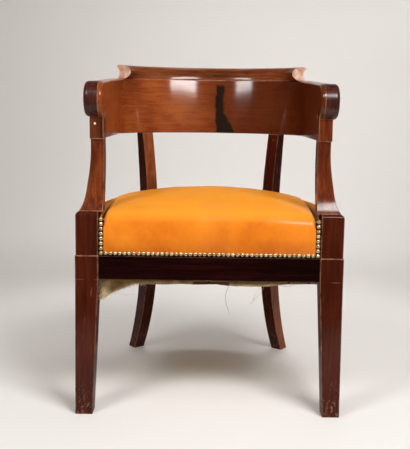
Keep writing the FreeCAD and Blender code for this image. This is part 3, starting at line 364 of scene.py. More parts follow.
def leather_finish():
    """Smooth orange-tan hide: fine pores, soft mottling, a top lightened by painted light, a darker stretch
    above the nails, and painted shade in the nail strips, behind the posts and in the slits beside them.
    """
    tan, orange_tan, bright_tan = (0.60, 0.138, 0.010), (0.72, 0.195, 0.014), (0.80, 0.250, 0.021)
    top_light_tan = (0.80, 0.31, 0.028)
    darker_tan = (0.42, 0.09, 0.010)
    shadowed = (0.16, 0.040, 0.008)
    rubbed_brown = (0.55, 0.15, 0.016)
    strip_shade_and_tarnish = (0.035, 0.018, 0.006)
    slit_shade = (0.03, 0.012, 0.005)
    f = Finish("tan_leather")
    axis = f.axes()
    x, y, z = axis["X"], axis["Y"], axis["Z"]
    across = f.maths("ABSOLUTE", x)
    mottling = f.noise(f.place, scale=11.0, detail=5.0, roughness=0.6)
    colour = f.ramp(mottling, (0.32, tan), (0.5, orange_tan), (0.7, bright_tan))
    # Painted light: the top is lightened to a yellower tan, as where light falls from above
    top = f.spread(z, EDGE_Z - 0.014, EDGE_Z + 0.004)
    colour = f.mix(f.times(top, 0.75), colour, top_light_tan)
    # Darker towards the nails, in patches
    above_nails = f.spread(z, NAIL_HIGH.z + 0.030, NAIL_LOW.z)
    patches = f.spread(f.noise(f.place, scale=24.0, detail=5.0, roughness=0.65), 0.35, 0.65)
    darkening_above_nails = f.times(above_nails, f.spread(patches, 0, 1, 0.45, 1.0), 0.75)
    colour = f.mix(darkening_above_nails, colour, darker_tan)
    # Painted shade, with some tarnish: a dark strip below the nail row and in the recessed nail strips beside
    # the posts
    below_nails = f.spread(z, NAIL_LOW.z + 0.0055, NAIL_LOW.z + 0.0035)
    at_front = f.spread(y, SEAT_FRONT + 0.012, SEAT_FRONT + 0.008)
    beside_posts = f.times(f.spread(across, STRIP_INNER, STRIP_INNER + 0.002), at_front)
    colour = f.mix(f.maths("MAXIMUM", below_nails, beside_posts), colour, strip_shade_and_tarnish)
    behind_posts = f.times(f.spread(y, POST_REAR - 0.006, POST_REAR), f.spread(y, 0.06, -0.06))
    past_fold = f.spread(across, FOLD_X - 0.001, FOLD_X + 0.002)
    upper_wall = f.spread(z, EDGE_Z - 0.05, EDGE_Z - 0.02)
    colour = f.mix(f.times(past_fold, behind_posts, upper_wall, 0.75), colour, shadowed)
    # Painted shade in the slits where the leather folds down beside the posts
    slit = f.spread(f.off(across, FOLD_X), 0.0048, 0.0025)
    colour = f.mix(f.times(slit, f.spread(y, -0.02, -0.12), f.spread(z, 0.42, 0.43)), colour, slit_shade)
    smudges = f.noise(f.stretched((1.0, 2.5, 1.0)), scale=14.0, detail=6.0, roughness=0.7)
    colour = f.mix(f.times(f.spread(smudges, 0.58, 0.75), 0.25), colour, rubbed_brown)
    height = f.maths("ADD", f.times(f.cells(scale=620.0), 0.6), f.times(f.cells(scale=160.0), 0.5))
    f.surface(Base_Color=colour, Roughness=f.spread(patches, 0.0, 1.0, 0.26, 0.40),
              Normal=f.bump(height, strength=0.10, distance=0.0012))
    middle = f.spread(f.off(x, 0.015), 0.045, 0.015)
    right = f.spread(x, 0.10, 0.17)
    near_front = f.spread(y, SEAT_FRONT + 0.12, SEAT_FRONT + 0.02)
    shine = f.times(f.maths("MAXIMUM", middle, right), near_front)
    f.surface(Coat_Weight=f.spread(shine, 0.0, 1.0, 0.08, 0.5), Coat_Roughness=0.22, Specular_IOR_Level=0.0)
    return f.material


def brass_finish():
    """Aged brass nail heads, each a little different, with spots of tarnish."""
    dull, plain, bright = (0.62, 0.45, 0.23), (0.74, 0.57, 0.32), (0.84, 0.69, 0.45)
    tarnished = (0.20, 0.13, 0.05)
    f = Finish("nail_brass")
    island = f.add("ShaderNodeNewGeometry").outputs["Random Per Island"]
    colour = f.ramp(island, (0.0, dull), (0.5, plain), (1.0, bright))
    tarnish = f.spread(f.noise(f.place, scale=380.0, roughness=0.6), 0.45, 0.65)
    colour = f.mix(f.times(tarnish, 0.5), colour, tarnished)
    f.surface(Base_Color=colour, Roughness=f.spread(tarnish, 0.0, 1.0, 0.22, 0.45))
    f.surface(Metallic=0.92)
    return f.material


def woven(name, dark, light, threads, turn=0.0, thin=0.0, marks=None):
    """Plain weave from two crossed rows of threads, with slubs. A thin cloth lets some light through."""
    f = Finish(name)
    across = f.bands(f.stretched((1, 1, 1), (0, 0, turn)), threads, distortion=1.2)
    down = f.bands(f.stretched((1, 1, 1), (0, 0, turn + math.pi / 2)), threads, distortion=1.2)
    weave = f.maths("MAXIMUM", across, down)
    slubs = f.noise(f.place, scale=90.0, detail=5.0, roughness=0.65)
    tone = f.maths("ADD", f.times(weave, 0.45), f.times(slubs, 0.55))
    colour = f.ramp(tone, (0.25, dark), (0.8, light))
    if marks:
        colour = marks(f, colour)
    f.surface(Base_Color=colour, Normal=f.bump(weave, strength=0.5, distance=0.0008))
    f.surface(Roughness=0.9, Sheen_Weight=0.15)
    if thin > 0:
        f.blend(thin, f.add("ShaderNodeBsdfTranslucent", {"Color": colour}))
    return f.material


def brown_patch(f, colour):
    """A stretch of the cover's front edge that is stained dark, and a little dirt all over."""
    dirty = (0.24, 0.13, 0.045)
    stained = (0.13, 0.032, 0.014)
    axis = f.axes()
    along = f.wandering(axis["X"], scale=120.0, amount=0.012)
    stretch = f.times(f.spread(along, -0.037, -0.034), f.spread(along, 0.046, 0.043))
    stain = f.times(stretch, f.spread(axis["Y"], COVER_LOW.y + 0.018, COVER_LOW.y + 0.014))
    dirt = f.spread(f.noise(f.place, scale=30.0, detail=5.0, roughness=0.65), 0.42, 0.68)
    colour = f.mix(f.times(dirt, 0.45), colour, dirty)
    return f.mix(f.times(stain, 0.9), colour, stained)


def metal(name, dark, light, roughness, scale):
    """Dull metal with darker and rougher patches."""
    f = Finish(name)
    patches = f.noise(f.place, scale, detail=5.0, roughness=0.65)
    f.surface(Base_Color=f.ramp(patches, (0.35, dark), (0.68, light)),
              Roughness=f.spread(patches, 0.3, 0.7, roughness, roughness + 0.25),
              Normal=f.bump(patches, strength=0.2, distance=0.0004))
    f.surface(Metallic=0.85)
    return f.material


leg_wood = wood("mahogany_legs", LEG_TONES, ALONG_Z, wear=1.0, marks=scuffed_feet, polish=0.4)
rear_leg_wood = wood("mahogany_rear_legs", LEG_TONES, ALONG_Z, wear=1.0, marks=scuffed_and_lit_stile, polish=0.4)
support_wood = wood("mahogany_supports", SUPPORT_TONES, ALONG_Z)
block_wood = wood("mahogany_block_left", BLOCK_TONES, ALONG_Z, marks=small_plug)
band_wood = wood("mahogany_band", BACK_TONES, ROUND_BACK, wear=0.0, clouding=0.55, marks=painted_dark_reflection,
                 polish=1.0, satin=0.11)
arm_wood = wood("mahogany_arms", BACK_TONES, ROUND_BACK, wear=0.1, clouding=0.55, marks=shaded_right_side,
                polish=0.9)
crest_wood = wood("mahogany_crest", CREST_TONES, ROUND_BACK, CREST_WORN, wear=0.6, marks=bare_ends)
roll_wood = wood("mahogany_rolls", ROLL_TONES, ALONG_Z, satin=0.26)
rail_wood = wood("mahogany_rails", RAIL_TONES, ALONG_X, wear=0.25, polish=0.35)
beech = wood("dowel_beech", BEECH_TONES, ALONG_Z, BEECH_WORN, gloss=0.5)
leather = leather_finish()
brass = brass_finish()
hessian = woven("jute_cloth", (0.52, 0.35, 0.15), (0.95, 0.76, 0.45), threads=260.0, thin=0.4,
                marks=brown_patch)
webbing = woven("jute_webbing", (0.10, 0.05, 0.02), (0.36, 0.22, 0.11), threads=190.0)
canvas = woven("canvas", (0.34, 0.28, 0.20), (0.66, 0.58, 0.46), threads=420.0)
twine = woven("twine", (0.35, 0.26, 0.15), (0.68, 0.56, 0.38), threads=700.0, turn=0.6)
steel = metal("spring_steel", (0.20, 0.17, 0.14), (0.46, 0.43, 0.40), roughness=0.35, scale=120.0)
iron = metal("tack_iron", (0.02, 0.02, 0.025), (0.08, 0.075, 0.07), roughness=0.45, scale=220.0)

NODE_FINISHES = {
    leg_wood: ["front_leg_left", "front_leg_right"],
    rear_leg_wood: ["rear_leg_left", "rear_leg_right"],
    support_wood: ["arm_support_left", "arm_support_right", "arm_block_right"],
    block_wood: ["arm_block_left"],
    band_wood: ["back_rail"],
    arm_wood: ["arm_rail_left", "arm_rail_right"],
    crest_wood: ["crest_rail"],
    roll_wood: ["arm_boss_left", "arm_boss_right"],
    rail_wood: ["seat_rail_front", "seat_rail_left", "seat_rail_right", "seat_rail_rear"],
    beech: ["arm_dowels", "back_dowels", "crest_dowels"],
    brass: ["nails_front", "nails_post_left", "nails_post_right", "nails_left", "nails_right", "nails_rear"],
    twine: ["spring_twine"],
    steel: ["seat_springs"],
    iron: ["webbing_tacks", "dust_cover_tacks"],
}
for finish, names in NODE_FINISHES.items():
    for name in names:
        nodes[name].data.materials.clear()
        nodes[name].data.materials.append(finish)


# Mesh helpers
def mesh_from(made, name):
    mesh = bpy.data.meshes.new(name)
    made.to_mesh(mesh)
    made.free()
    return mesh


def new_object(name, mesh, finish):
    piece = bpy.data.objects.new(name, mesh)
    bpy.context.scene.collection.objects.link(piece)
    mesh.materials.clear()
    mesh.materials.append(finish)
    return piece


def baked(piece):
    """Replaces a piece's mesh by what its modifiers make of it."""
    graph = bpy.context.evaluated_depsgraph_get()
    made = bpy.data.meshes.new_from_object(piece.evaluated_get(graph))
    piece.modifiers.clear()
    piece.data = made


def thickened(piece, thickness, offset):
    thick = piece.modifiers.new("thick", "SOLIDIFY")
    thick.thickness = thickness
    thick.offset = offset
    baked(piece)


def smooth_shaded(piece):
    for face in piece.data.polygons:
        face.use_smooth = True


def grid_faces(made, rows):
    """Faces between the points of a grid."""
    for low, high in zip(rows, rows[1:]):
        for i in range(len(low) - 1):
            made.faces.new((low[i], low[i + 1], high[i + 1], high[i]))


def seat_outline(radius, front, across, deep):
    """The four sides of the seat's plan, as points with their outward directions. The front and the back run
    from left to right, the right and the left from front to back."""
    turn_at_corner = math.pi / 4

    def arc(turn):
        away = Vector((math.sin(turn), math.cos(turn), 0))
        return Vector((0, BACK_CENTRE, 0)) + away * radius, away

    def side(part):
        straight = BACK_CENTRE - front
        run = part * (straight + radius * turn_at_corner)
        if run < straight:
            return Vector((radius, front + run, 0)), Vector((1, 0, 0))
        return arc(math.pi / 2 - (run - straight) / radius)

    def flipped(pair):
        return tuple(Vector((-v.x, v.y, v.z)) for v in pair)

    shares = [2 * i / across - 1 for i in range(across + 1)]
    front_row = [(Vector((radius * share, front, 0)), Vector((0, -1, 0))) for share in shares]
    right = [side(j / deep) for j in range(deep + 1)]
    back_row = [arc(turn_at_corner * share) for share in shares]
    left = [flipped(pair) for pair in right]
    return front_row, right, back_row, left


def plan_grid(radius, front, across, deep):
    """Grid of plan points that fills the seat's outline, as rows from front to back."""
    front_row, right, back_row, left = seat_outline(radius, front, across, deep)
    rows = []
    for j in range(deep + 1):
        v = j / deep
        row = []
        for i in range(across + 1):
            u = i / across
            lengthwise = front_row[i][0] * (1 - v) + back_row[i][0] * v
            crosswise = left[j][0] * (1 - u) + right[j][0] * u
            low = front_row[0][0] * (1 - u) + front_row[-1][0] * u
            high = back_row[0][0] * (1 - u) + back_row[-1][0] * u
            row.append(lengthwise + crosswise - low * (1 - v) - high * v)
        rows.append(row)
    return rows


def rim_places(across, deep):
    """(column, row) of the grid's rim in one loop."""
    loop = [(i, 0) for i in range(across)]
    loop += [(across, j) for j in range(deep)]
    loop += [(i, deep) for i in range(across, 0, -1)]
    loop += [(0, j) for j in range(deep, 0, -1)]
    return loop


def eased_step(value):
    part = min(max(value, 0.0), 1.0)
    return part * part * (3 - 2 * part)


def distance_out(x, y):
    """How far a plan point lies from the seat's middle line, or from the half circle's centre behind it."""
    return math.hypot(x, y - BACK_CENTRE) if y > BACK_CENTRE else abs(x)


# Leather seat
def post_distance(x, y):
    """How far a plan point lies from the nearer front post."""
    return math.hypot(max(POST_INNER - abs(x), 0), max(y - POST_REAR, 0))


def stile_distance(x, y):
    """How far a plan point lies from the nearer rear leg."""
    centre = Vector((math.sin(REAR_TURN), math.cos(REAR_TURN))) * STILE_RADIUS
    place = Vector((abs(x), y - BACK_CENTRE)) - centre
    away = centre.normalized()
    out = place.dot(away)
    beside = place.x * away.y - place.y * away.x
    return math.hypot(max(abs(out) - STILE_HALF_DEPTH, 0), max(abs(beside) - STILE_HALF_WIDTH, 0))


def seat_height(x, y):
    """Height of the stuffed top before the rim: a crown that folds down beside the posts and dips round the
    rear legs."""
    out = distance_out(x, y)
    beside = min(out / SEAT_RADIUS, 1) ** CROWN_SIDE_POWER
    forward = (max(BACK_CENTRE - y, 0) / (BACK_CENTRE - SEAT_FRONT)) ** CROWN_FRONT_POWER
    height = EDGE_Z + CROWN * (1 - beside) * (1 - forward)
    front_part = eased_step((FRONT_PART_END - y) / FRONT_PART_LENGTH)
    shoulder_width = SHOULDER_WIDTH + REAR_SHOULDER_WIDER * (1 - front_part)
    shoulder_start = SHOULDER_X - REAR_SHOULDER_INWARD * (1 - front_part)
    height -= SHOULDER_DROP * eased_step((out - shoulder_start) / shoulder_width)
    fold = math.exp(-((abs(x) - FOLD_X) / FOLD_WIDTH) ** 2) * front_part
    height -= FOLD_DEPTH * fold
    height -= STILE_DIMPLE * math.exp(-(stile_distance(x, y) / STILE_DIMPLE_WIDTH) ** 2)
    return height + LUMPS * noise.noise(Vector((x * LUMPS_SCALE, y * LUMPS_SCALE, LUMPS_LAYER)))


def seat_slope(place, away):
    """How steeply the top falls at the start of the rim."""
    inside = place - away * RIM_RADIUS / 2
    return (seat_height(inside.x, inside.y) - seat_height(place.x, place.y)) / (RIM_RADIUS / 2)


def edge_steps():
    """The rings round the top, as (way out, share of the wall passed, drop, run over which the top's slope
    goes on). The share of the wall is None on the rounded rim."""
    steps = []
    for k in range(1, RIM_STEPS + 1):
        angle = k / RIM_STEPS * math.pi / 2
        out = RIM_RADIUS * math.sin(angle)
        steps.append((out, None, RIM_RADIUS * (1 - math.cos(angle)), out * (1 - k / RIM_STEPS)))
    for k in range(1, WALL_ROWS + 1):
        part = k / WALL_ROWS
        belly = WALL_BULGE * math.sin(math.pi * min(part / BULGE_END, 1))
        steps.append((RIM_RADIUS + belly, part, RIM_RADIUS, 0))
    steps.append((RIM_RADIUS - LEATHER, 1.0, RIM_RADIUS, 0))
    steps.append((RIM_RADIUS - LEATHER, HEM_TOP, RIM_RADIUS, 0))
    return steps


def seat_mesh():
    """Closed skin of the seat: crowned top, rounded rim, wall with a slight belly, flat underside."""
    made = bmesh.new()
    plan = SEAT_RADIUS - RIM_RADIUS, SEAT_FRONT + RIM_RADIUS, CELLS_ACROSS, CELLS_DEEP
    rows = plan_grid(*plan)
    top = [[made.verts.new((p.x, p.y, seat_height(p.x, p.y))) for p in row] for row in rows]
    grid_faces(made, top)
    front_row, right, back_row, left = seat_outline(*plan)
    outward = [away for point, away in front_row[:-1] + right[:-1] + back_row[:0:-1] + left[:0:-1]]
    previous = [top[j][i] for i, j in rim_places(CELLS_ACROSS, CELLS_DEEP)]
    base = [v.co.copy() for v in previous]
    slopes = [seat_slope(place, away) for place, away in zip(base, outward)]
    wall_low = SKIN_LOW.z + WALL_CLEAR
    for out, part, drop, carry in edge_steps():
        ring = []
        for place, away, slope in zip(base, outward, slopes):
            z = place.z - drop - carry * slope
            reach = out
            if part is not None:
                z = z + (wall_low - z) * part
                free = (STRIP_INNER - abs(place.x)) / STRIP_EASE if place.y < POST_REAR else 1
                reach = RIM_RADIUS + (out - RIM_RADIUS) * eased_step(free)
            spot = place + away * reach
            ring.append(made.verts.new((spot.x, spot.y, z)))
        for k in range(len(ring)):
            nxt = (k + 1) % len(ring)
            made.faces.new((previous[k], ring[k], ring[nxt], previous[nxt]))
        previous = ring
    under = dict(zip(rim_places(CELLS_ACROSS, CELLS_DEEP), previous))
    for j in range(1, CELLS_DEEP):
        for i in range(1, CELLS_ACROSS):
            under[i, j] = made.verts.new((rows[j][i].x, rows[j][i].y, UNDERSIDE_Z))
    for j in range(CELLS_DEEP):
        for i in range(CELLS_ACROSS):
            made.faces.new((under[i, j], under[i, j + 1], under[i + 1, j + 1], under[i + 1, j]))
    bmesh.ops.recalc_face_normals(made, faces=made.faces)
    return mesh_from(made, "seat_leather")


def held_weight(place):
    """1 where the leather is nailed or tucked in, 0 where it is free to swell."""
    if place.z < NAIL_HIGH.z + HELD_ABOVE_NAILS:
        return 1.0
    if place.y < SEAT_FRONT + HELD_FRONT and abs(place.x) > STRIP_INNER:
        return 1.0
    near = min(post_distance(place.x, place.y), stile_distance(place.x, place.y))
    return max(0.0, 1 - near / TUCK_REACH)


def swollen(piece, pressure, frames, most):
    """Blows a closed form up a little as cloth, with its held points fixed, and keeps the result."""
    start = [v.co.copy() for v in piece.data.vertices]
    held = piece.vertex_groups.new(name="held")
    for vertex in piece.data.vertices:
        weight = held_weight(vertex.co)
        if weight > 0:
            held.add([vertex.index], weight, "REPLACE")
    cloth = piece.modifiers.new("swell", "CLOTH")
    cloth.settings.quality = 6
    cloth.settings.mass = 0.4
    cloth.settings.tension_stiffness = 25
    cloth.settings.compression_stiffness = 25
    cloth.settings.bending_stiffness = 4
    cloth.settings.vertex_group_mass = "held"
    cloth.settings.use_pressure = True
    cloth.settings.uniform_pressure_force = pressure
    cloth.settings.effector_weights.gravity = 0
    cloth.collision_settings.use_collision = False
    cloth.point_cache.frame_start = 1
    cloth.point_cache.frame_end = frames
    for number in range(1, frames + 1):
        bpy.context.scene.frame_set(number)
    baked(piece)
    for vertex, place in zip(piece.data.vertices, start):
        moved = vertex.co - place
        if moved.length > most:
            vertex.co = place + moved * (most / moved.length)
    bpy.context.scene.frame_set(1)


def cutter(name, low, high, place=Matrix.Identity(4)):
    """A block between two corners, turned and moved by a matrix."""
    made = bmesh.new()
    size = Vector(high) - Vector(low)
    middle = (Vector(high) + Vector(low)) / 2
    shape = place @ Matrix.Translation(middle) @ Matrix.Diagonal((*size, 1))
    bmesh.ops.create_cube(made, size=1.0, matrix=shape)
    tool = bpy.data.objects.new(name, mesh_from(made, name))
    bpy.context.scene.collection.objects.link(tool)
    return tool


def leg_cutters(post_gap, rear_gap, stile_gap):
    """Blocks round the four legs that cut a cloth clear of them."""
    tools = []
    half = STILE_HALF_WIDTH + stile_gap
    stile_inner = STILE_RADIUS - STILE_HALF_DEPTH - stile_gap
    for side in (-1, 1):
        low_x, high_x = sorted((side * (POST_INNER - post_gap), side * (SEAT_RADIUS + CUT_REACH)))
        tools.append(cutter("post_room", (low_x, SEAT_FRONT - CUT_REACH, CUT_LOW),
                            (high_x, POST_REAR + rear_gap, CUT_HIGH)))
        turn = Matrix.Translation((0, BACK_CENTRE, 0)) @ Matrix.Rotation(-side * REAR_TURN, 4, "Z")
        tools.append(cutter("stile_room", (-half, stile_inner, CUT_LOW),
                            (half, STILE_RADIUS + CUT_REACH, CUT_HIGH), turn))
    return tools


def cut_by(piece, tools):
    for tool in tools:
        cut = piece.modifiers.new("cut", "BOOLEAN")
        cut.operation = "DIFFERENCE"
        cut.solver = "MANIFOLD"
        cut.object = tool
    baked(piece)
    for tool in tools:
        bpy.data.objects.remove(tool)


def leather_seat():
    piece = new_object("leather_seat", seat_mesh(), leather)
    swollen(piece, pressure=4.0, frames=20, most=0.005)
    finer = piece.modifiers.new("finer", "SUBSURF")
    finer.levels = 1
    finer.render_levels = 1
    baked(piece)
    cut_by(piece, leg_cutters(post_gap=0.0022, rear_gap=0.0015, stile_gap=0.001))
    smooth_shaded(piece)
    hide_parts("leather_cover", "stuffing_pad")
    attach(piece, "root")


leather_seat()

# Spring canvas: a flat stretched cloth on top of the springs
CANVAS_ACROSS = 40
CANVAS_DEEP = 36


def spring_canvas():
    low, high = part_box("spring_canvas")
    rows = plan_grid(high.x, low.y, CANVAS_ACROSS, CANVAS_DEEP)
    made = bmesh.new()
    grid_faces(made, [[made.verts.new((p.x, p.y, low.z)) for p in row] for row in rows])
    piece = new_object("spring_canvas_cloth", mesh_from(made, "spring_canvas_cloth"), canvas)
    thickened(piece, high.z - low.z, offset=1)
    cut_by(piece, leg_cutters(post_gap=0.001, rear_gap=0.001, stile_gap=0.001))
    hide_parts("spring_canvas")
    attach(piece, "root")


spring_canvas()

# Webbing: straps woven over and under each other below the seat rails
STRAP_WIDTH = 0.055
STRAP_THICK = 0.002
STRAPS_LENGTHWISE = (-0.105, -0.035, 0.035, 0.105)
STRAPS_CROSSWISE = (-0.120, -0.040, 0.040, 0.120)
STRAP_END_INSET = 0.0023
STRAP_END_RADIUS = SEAT_RADIUS - STRAP_END_INSET
STRAP_FRONT_INSET = 0.004
STRAP_STEP = 0.006
STRAP_FEWEST_STEPS = 8
STRAP_HANG = 0.25
STRAP_LIFT = 0.62


def strap(made, start, along, across, length, crossings, first):
    """One strap as a closed strip that rises and falls where it crosses the others."""
    steps = max(STRAP_FEWEST_STEPS, round(length / STRAP_STEP))
    rings = []
    for k in range(steps + 1):
        run = length * k / steps
        lift = 0.0
        for number, crossing in enumerate(crossings):
            near = math.exp(-((run - crossing) / (STRAP_WIDTH * 0.5)) ** 4)
            lift += (1 if (number + first) % 2 else -1) * near
        z = (STRAP_LOW.z - STRAP_THICK * STRAP_HANG) + lift * STRAP_THICK * STRAP_LIFT
        middle = start + along * run
        ring = []
        for side, level in ((-1, -0.5), (1, -0.5), (1, 0.5), (-1, 0.5)):
            spot = middle + across * (side * STRAP_WIDTH / 2)
            ring.append(made.verts.new((spot.x, spot.y, z + level * STRAP_THICK)))
        rings.append(ring)
    for a, b in zip(rings, rings[1:]):
        for k in range(4):
            made.faces.new((a[k], a[(k + 1) % 4], b[(k + 1) % 4], b[k]))
    made.faces.new(rings[0])
    made.faces.new(rings[-1][::-1])


def webbing_straps():
    front = RAIL_LOW.y + STRAP_FRONT_INSET
    rightward = Vector((1, 0, 0))
    rearward = Vector((0, 1, 0))
    for name, lengthwise in (("webbing_lengthwise", True), ("webbing_crosswise", False)):
        made = bmesh.new()
        places = STRAPS_LENGTHWISE if lengthwise else STRAPS_CROSSWISE
        for number, place in enumerate(places):
            if lengthwise:
                rear = BACK_CENTRE + math.sqrt(STRAP_END_RADIUS ** 2 - (abs(place) + STRAP_WIDTH / 2) ** 2)
                crossings = [BACK_CENTRE + y - front for y in STRAPS_CROSSWISE]
                start = Vector((place, front, 0))
                strap(made, start, rearward, rightward, rear - front, crossings, number)
            else:
                deep = max(place + STRAP_WIDTH / 2, 0)
                reach = math.sqrt(STRAP_END_RADIUS ** 2 - deep ** 2)
                crossings = [reach + x for x in STRAPS_LENGTHWISE]
                start = Vector((-reach, BACK_CENTRE + place, 0))
                strap(made, start, rightward, rearward, 2 * reach, crossings, number + 1)
        bmesh.ops.recalc_face_normals(made, faces=made.faces)
        piece = new_object(name + "_straps", mesh_from(made, name + "_straps"), webbing)
        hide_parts(name)
        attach(piece, "root")


webbing_straps()

# Dust cover: a thin cloth tacked under the seat, torn loose at the left front corner
COVER_BELOW_STRAPS = 0.0042
COVER_Z = STRAP_LOW.z - COVER_BELOW_STRAPS
COVER_RADIUS = COVER_HIGH.x
COVER_FRONT = COVER_LOW.y
COVER_THICK = 0.0008
COVER_SAG = 0.004
COVER_SAG_POWER = 4
COVER_RIPPLE = 0.0014
COVER_RIPPLE_SCALE = 22
COVER_ACROSS = 96
COVER_DEEP = 84

# The torn corner, the ragged strip beside it, how far both turn back, and the loose ends
FLAP_CLEAR = 0.002
FLAP_CORNER = Vector((-POST_INNER + FLAP_CLEAR, COVER_FRONT))
FLAP_DROP = 0.044
FLAP_REACH = 0.100
FLAP_POWER = 1.35
RAGGED_DROP = 0.0065
RAGGED_WAVES = 0.0035
RAGGED_WAVES_SCALE = 18
RAGGED_TEETH = 0.0012
RAGGED_TEETH_SCALE = 90
RAGGED_END = 0.20
RAGGED_FADE = 0.08
LEAST_HANG = 0.0008
TURN_LEAST = 0.20
TURN_MORE = 1.25
TURN_START = 0.012
TURN_END = 0.1
TURN_FADE = 0.2
TURN_LOW_SHARE = 0.4
LEVEL_AFTER = 3
FRAYED_ENDS = 110
FRAY_SEED = 11
FRAY_SHORTEST = 0.0010
FRAY_LONGEST = 0.0042
THREAD_RADIUS = 0.00032


def hanging(x):
    """How much of the cover hangs down at its front edge: a loose corner on the left, then a ragged strip."""
    corner = FLAP_DROP * max(0.0, 1 - max(x - FLAP_CORNER.x, 0) / FLAP_REACH) ** FLAP_POWER
    waves = RAGGED_WAVES * noise.noise(Vector((x * RAGGED_WAVES_SCALE, 0.5, 2.0)))
    teeth = RAGGED_TEETH * noise.noise(Vector((x * RAGGED_TEETH_SCALE, 4.0, 0)))
    ragged = RAGGED_DROP + waves + teeth
    return max(corner, ragged * eased_step((RAGGED_END - x) / RAGGED_FADE), LEAST_HANG)


def cover_place(x, y):
    """Where a point of the flat cover ends up."""
    hang = hanging(x)
    back = y - COVER_FRONT
    past_corner = eased_step((x - FLAP_CORNER.x - TURN_START) / TURN_START)
    fold = hang * (TURN_LEAST + TURN_MORE * past_corner * eased_step((TURN_END - x) / TURN_FADE))
    middle = 1 - min(distance_out(x, y) / COVER_RADIUS, 1)
    ripple = COVER_RIPPLE * noise.noise(Vector((x * COVER_RIPPLE_SCALE, y * COVER_RIPPLE_SCALE, 1.0)))
    drop = COVER_SAG * (1 - (1 - middle) ** COVER_SAG_POWER) - ripple * middle
    if back < hang:
        y = COVER_FRONT + fold * (TURN_LOW_SHARE + (1 - TURN_LOW_SHARE) * back / hang)
        drop = hang - back
    elif back < LEVEL_AFTER * hang:
        part = (back - hang) / ((LEVEL_AFTER - 1) * hang)
        y = COVER_FRONT + fold + part * (LEVEL_AFTER * hang - fold)
        drop *= part
    return Vector((x, y, COVER_Z - drop))


def thread_curve(name, routes, radius, finish):
    """Many thin threads as one curve, each a list of points."""
    curve = bpy.data.curves.new(name, "CURVE")
    curve.dimensions = "3D"
    curve.bevel_depth = radius
    curve.bevel_resolution = 1
    for route in routes:
        spline = curve.splines.new("NURBS")
        spline.points.add(len(route) - 1)
        for point, place in zip(spline.points, route):
            point.co = (*place, 1)
        spline.order_u = 3
        spline.use_endpoint_u = True
    curve.materials.append(finish)
    piece = bpy.data.objects.new(name, curve)
    bpy.context.scene.collection.objects.link(piece)
    return piece


def frayed_edge():
    """Short loose ends along the torn corner: one in three at its left edge, the others at its lower edge."""
    draw = random.Random(FRAY_SEED)
    routes = []
    for k in range(FRAYED_ENDS):
        part = draw.random()
        if k % 3:
            start = cover_place(FLAP_CORNER.x + part * FLAP_REACH, COVER_FRONT)
            out = Vector((draw.uniform(-0.4, 0.4), -0.3, -1)).normalized()
        else:
            start = cover_place(FLAP_CORNER.x, COVER_FRONT + part * FLAP_DROP)
            out = Vector((-1, -0.2, draw.uniform(-0.5, 0.2))).normalized()
        length = draw.uniform(FRAY_SHORTEST, FRAY_LONGEST)
        bend = Vector((draw.uniform(-1, 1), draw.uniform(-1, 1), -0.6)) * length * 0.5
        routes.append([start, start + out * length * 0.6, start + out * length + bend])
    return routes


# Longer threads: four that hang from the front edge, and one from the torn corner
LOOSE_THREADS = [
    [(0.046, -0.268, 0.299), (0.040, -0.270, 0.285), (0.036, -0.270, 0.268), (0.039, -0.269, 0.248),
     (0.047, -0.268, 0.228)],
    [(0.115, -0.268, 0.299), (0.109, -0.270, 0.287), (0.100, -0.270, 0.270), (0.094, -0.268, 0.251)],
    [(0.123, -0.268, 0.299), (0.118, -0.271, 0.284), (0.106, -0.271, 0.268), (0.089, -0.269, 0.252)],
    [(0.146, -0.268, 0.299), (0.160, -0.272, 0.293), (0.180, -0.272, 0.294), (0.203, -0.269, 0.303)],
    [(-0.204, -0.267, 0.274), (-0.192, -0.270, 0.268), (-0.176, -0.270, 0.270), (-0.158, -0.268, 0.269)],
]


def dust_cover():
    rows = plan_grid(COVER_RADIUS, COVER_FRONT, COVER_ACROSS, COVER_DEEP)
    made = bmesh.new()
    grid_faces(made, [[made.verts.new(cover_place(p.x, p.y)) for p in row] for row in rows])
    piece = new_object("dust_cover_cloth", mesh_from(made, "dust_cover_cloth"), hessian)
    thickened(piece, COVER_THICK, offset=0)
    cut_by(piece, leg_cutters(post_gap=0.002, rear_gap=0.002, stile_gap=0.002))
    smooth_shaded(piece)
    threads = thread_curve("dust_cover_threads", frayed_edge() + LOOSE_THREADS, THREAD_RADIUS, hessian)
    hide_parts("dust_cover")
    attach(piece, "root")
    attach(threads, "root")


dust_cover()

# Stage: a pale floor that sweeps up into a backdrop
PALE = (0.78, 0.76, 0.74)
PAPER_COLOUR = (0.88, 0.85, 0.825)
PAPER_FRONT = -0.95
PAPER_REAR = 1.4
PAPER_BEND = 0.9
PAPER_TOP = 4.0
BEND_STEPS = 12
FLOOR_REACH = 30.0
FADE_NEAR = 2.8
FADE_FAR = 5.0


def pale_finish():
    """Pale paper that turns into the plain background colour far from the chair."""
    f = Finish("pale_paper")
    f.surface(Base_Color=(*PAPER_COLOUR, 1), Roughness=0.85, Specular_IOR_Level=0.1)
    gap = f.add("ShaderNodeVectorMath", {0: f.place}, operation="LENGTH").outputs["Value"]
    seen = f.add("ShaderNodeLightPath").outputs["Is Camera Ray"]
    plain = f.add("ShaderNodeEmission", {"Color": (*PALE, 1)})
    f.blend(f.times(f.spread(gap, FADE_NEAR, FADE_FAR), seen), plain)
    return f.material


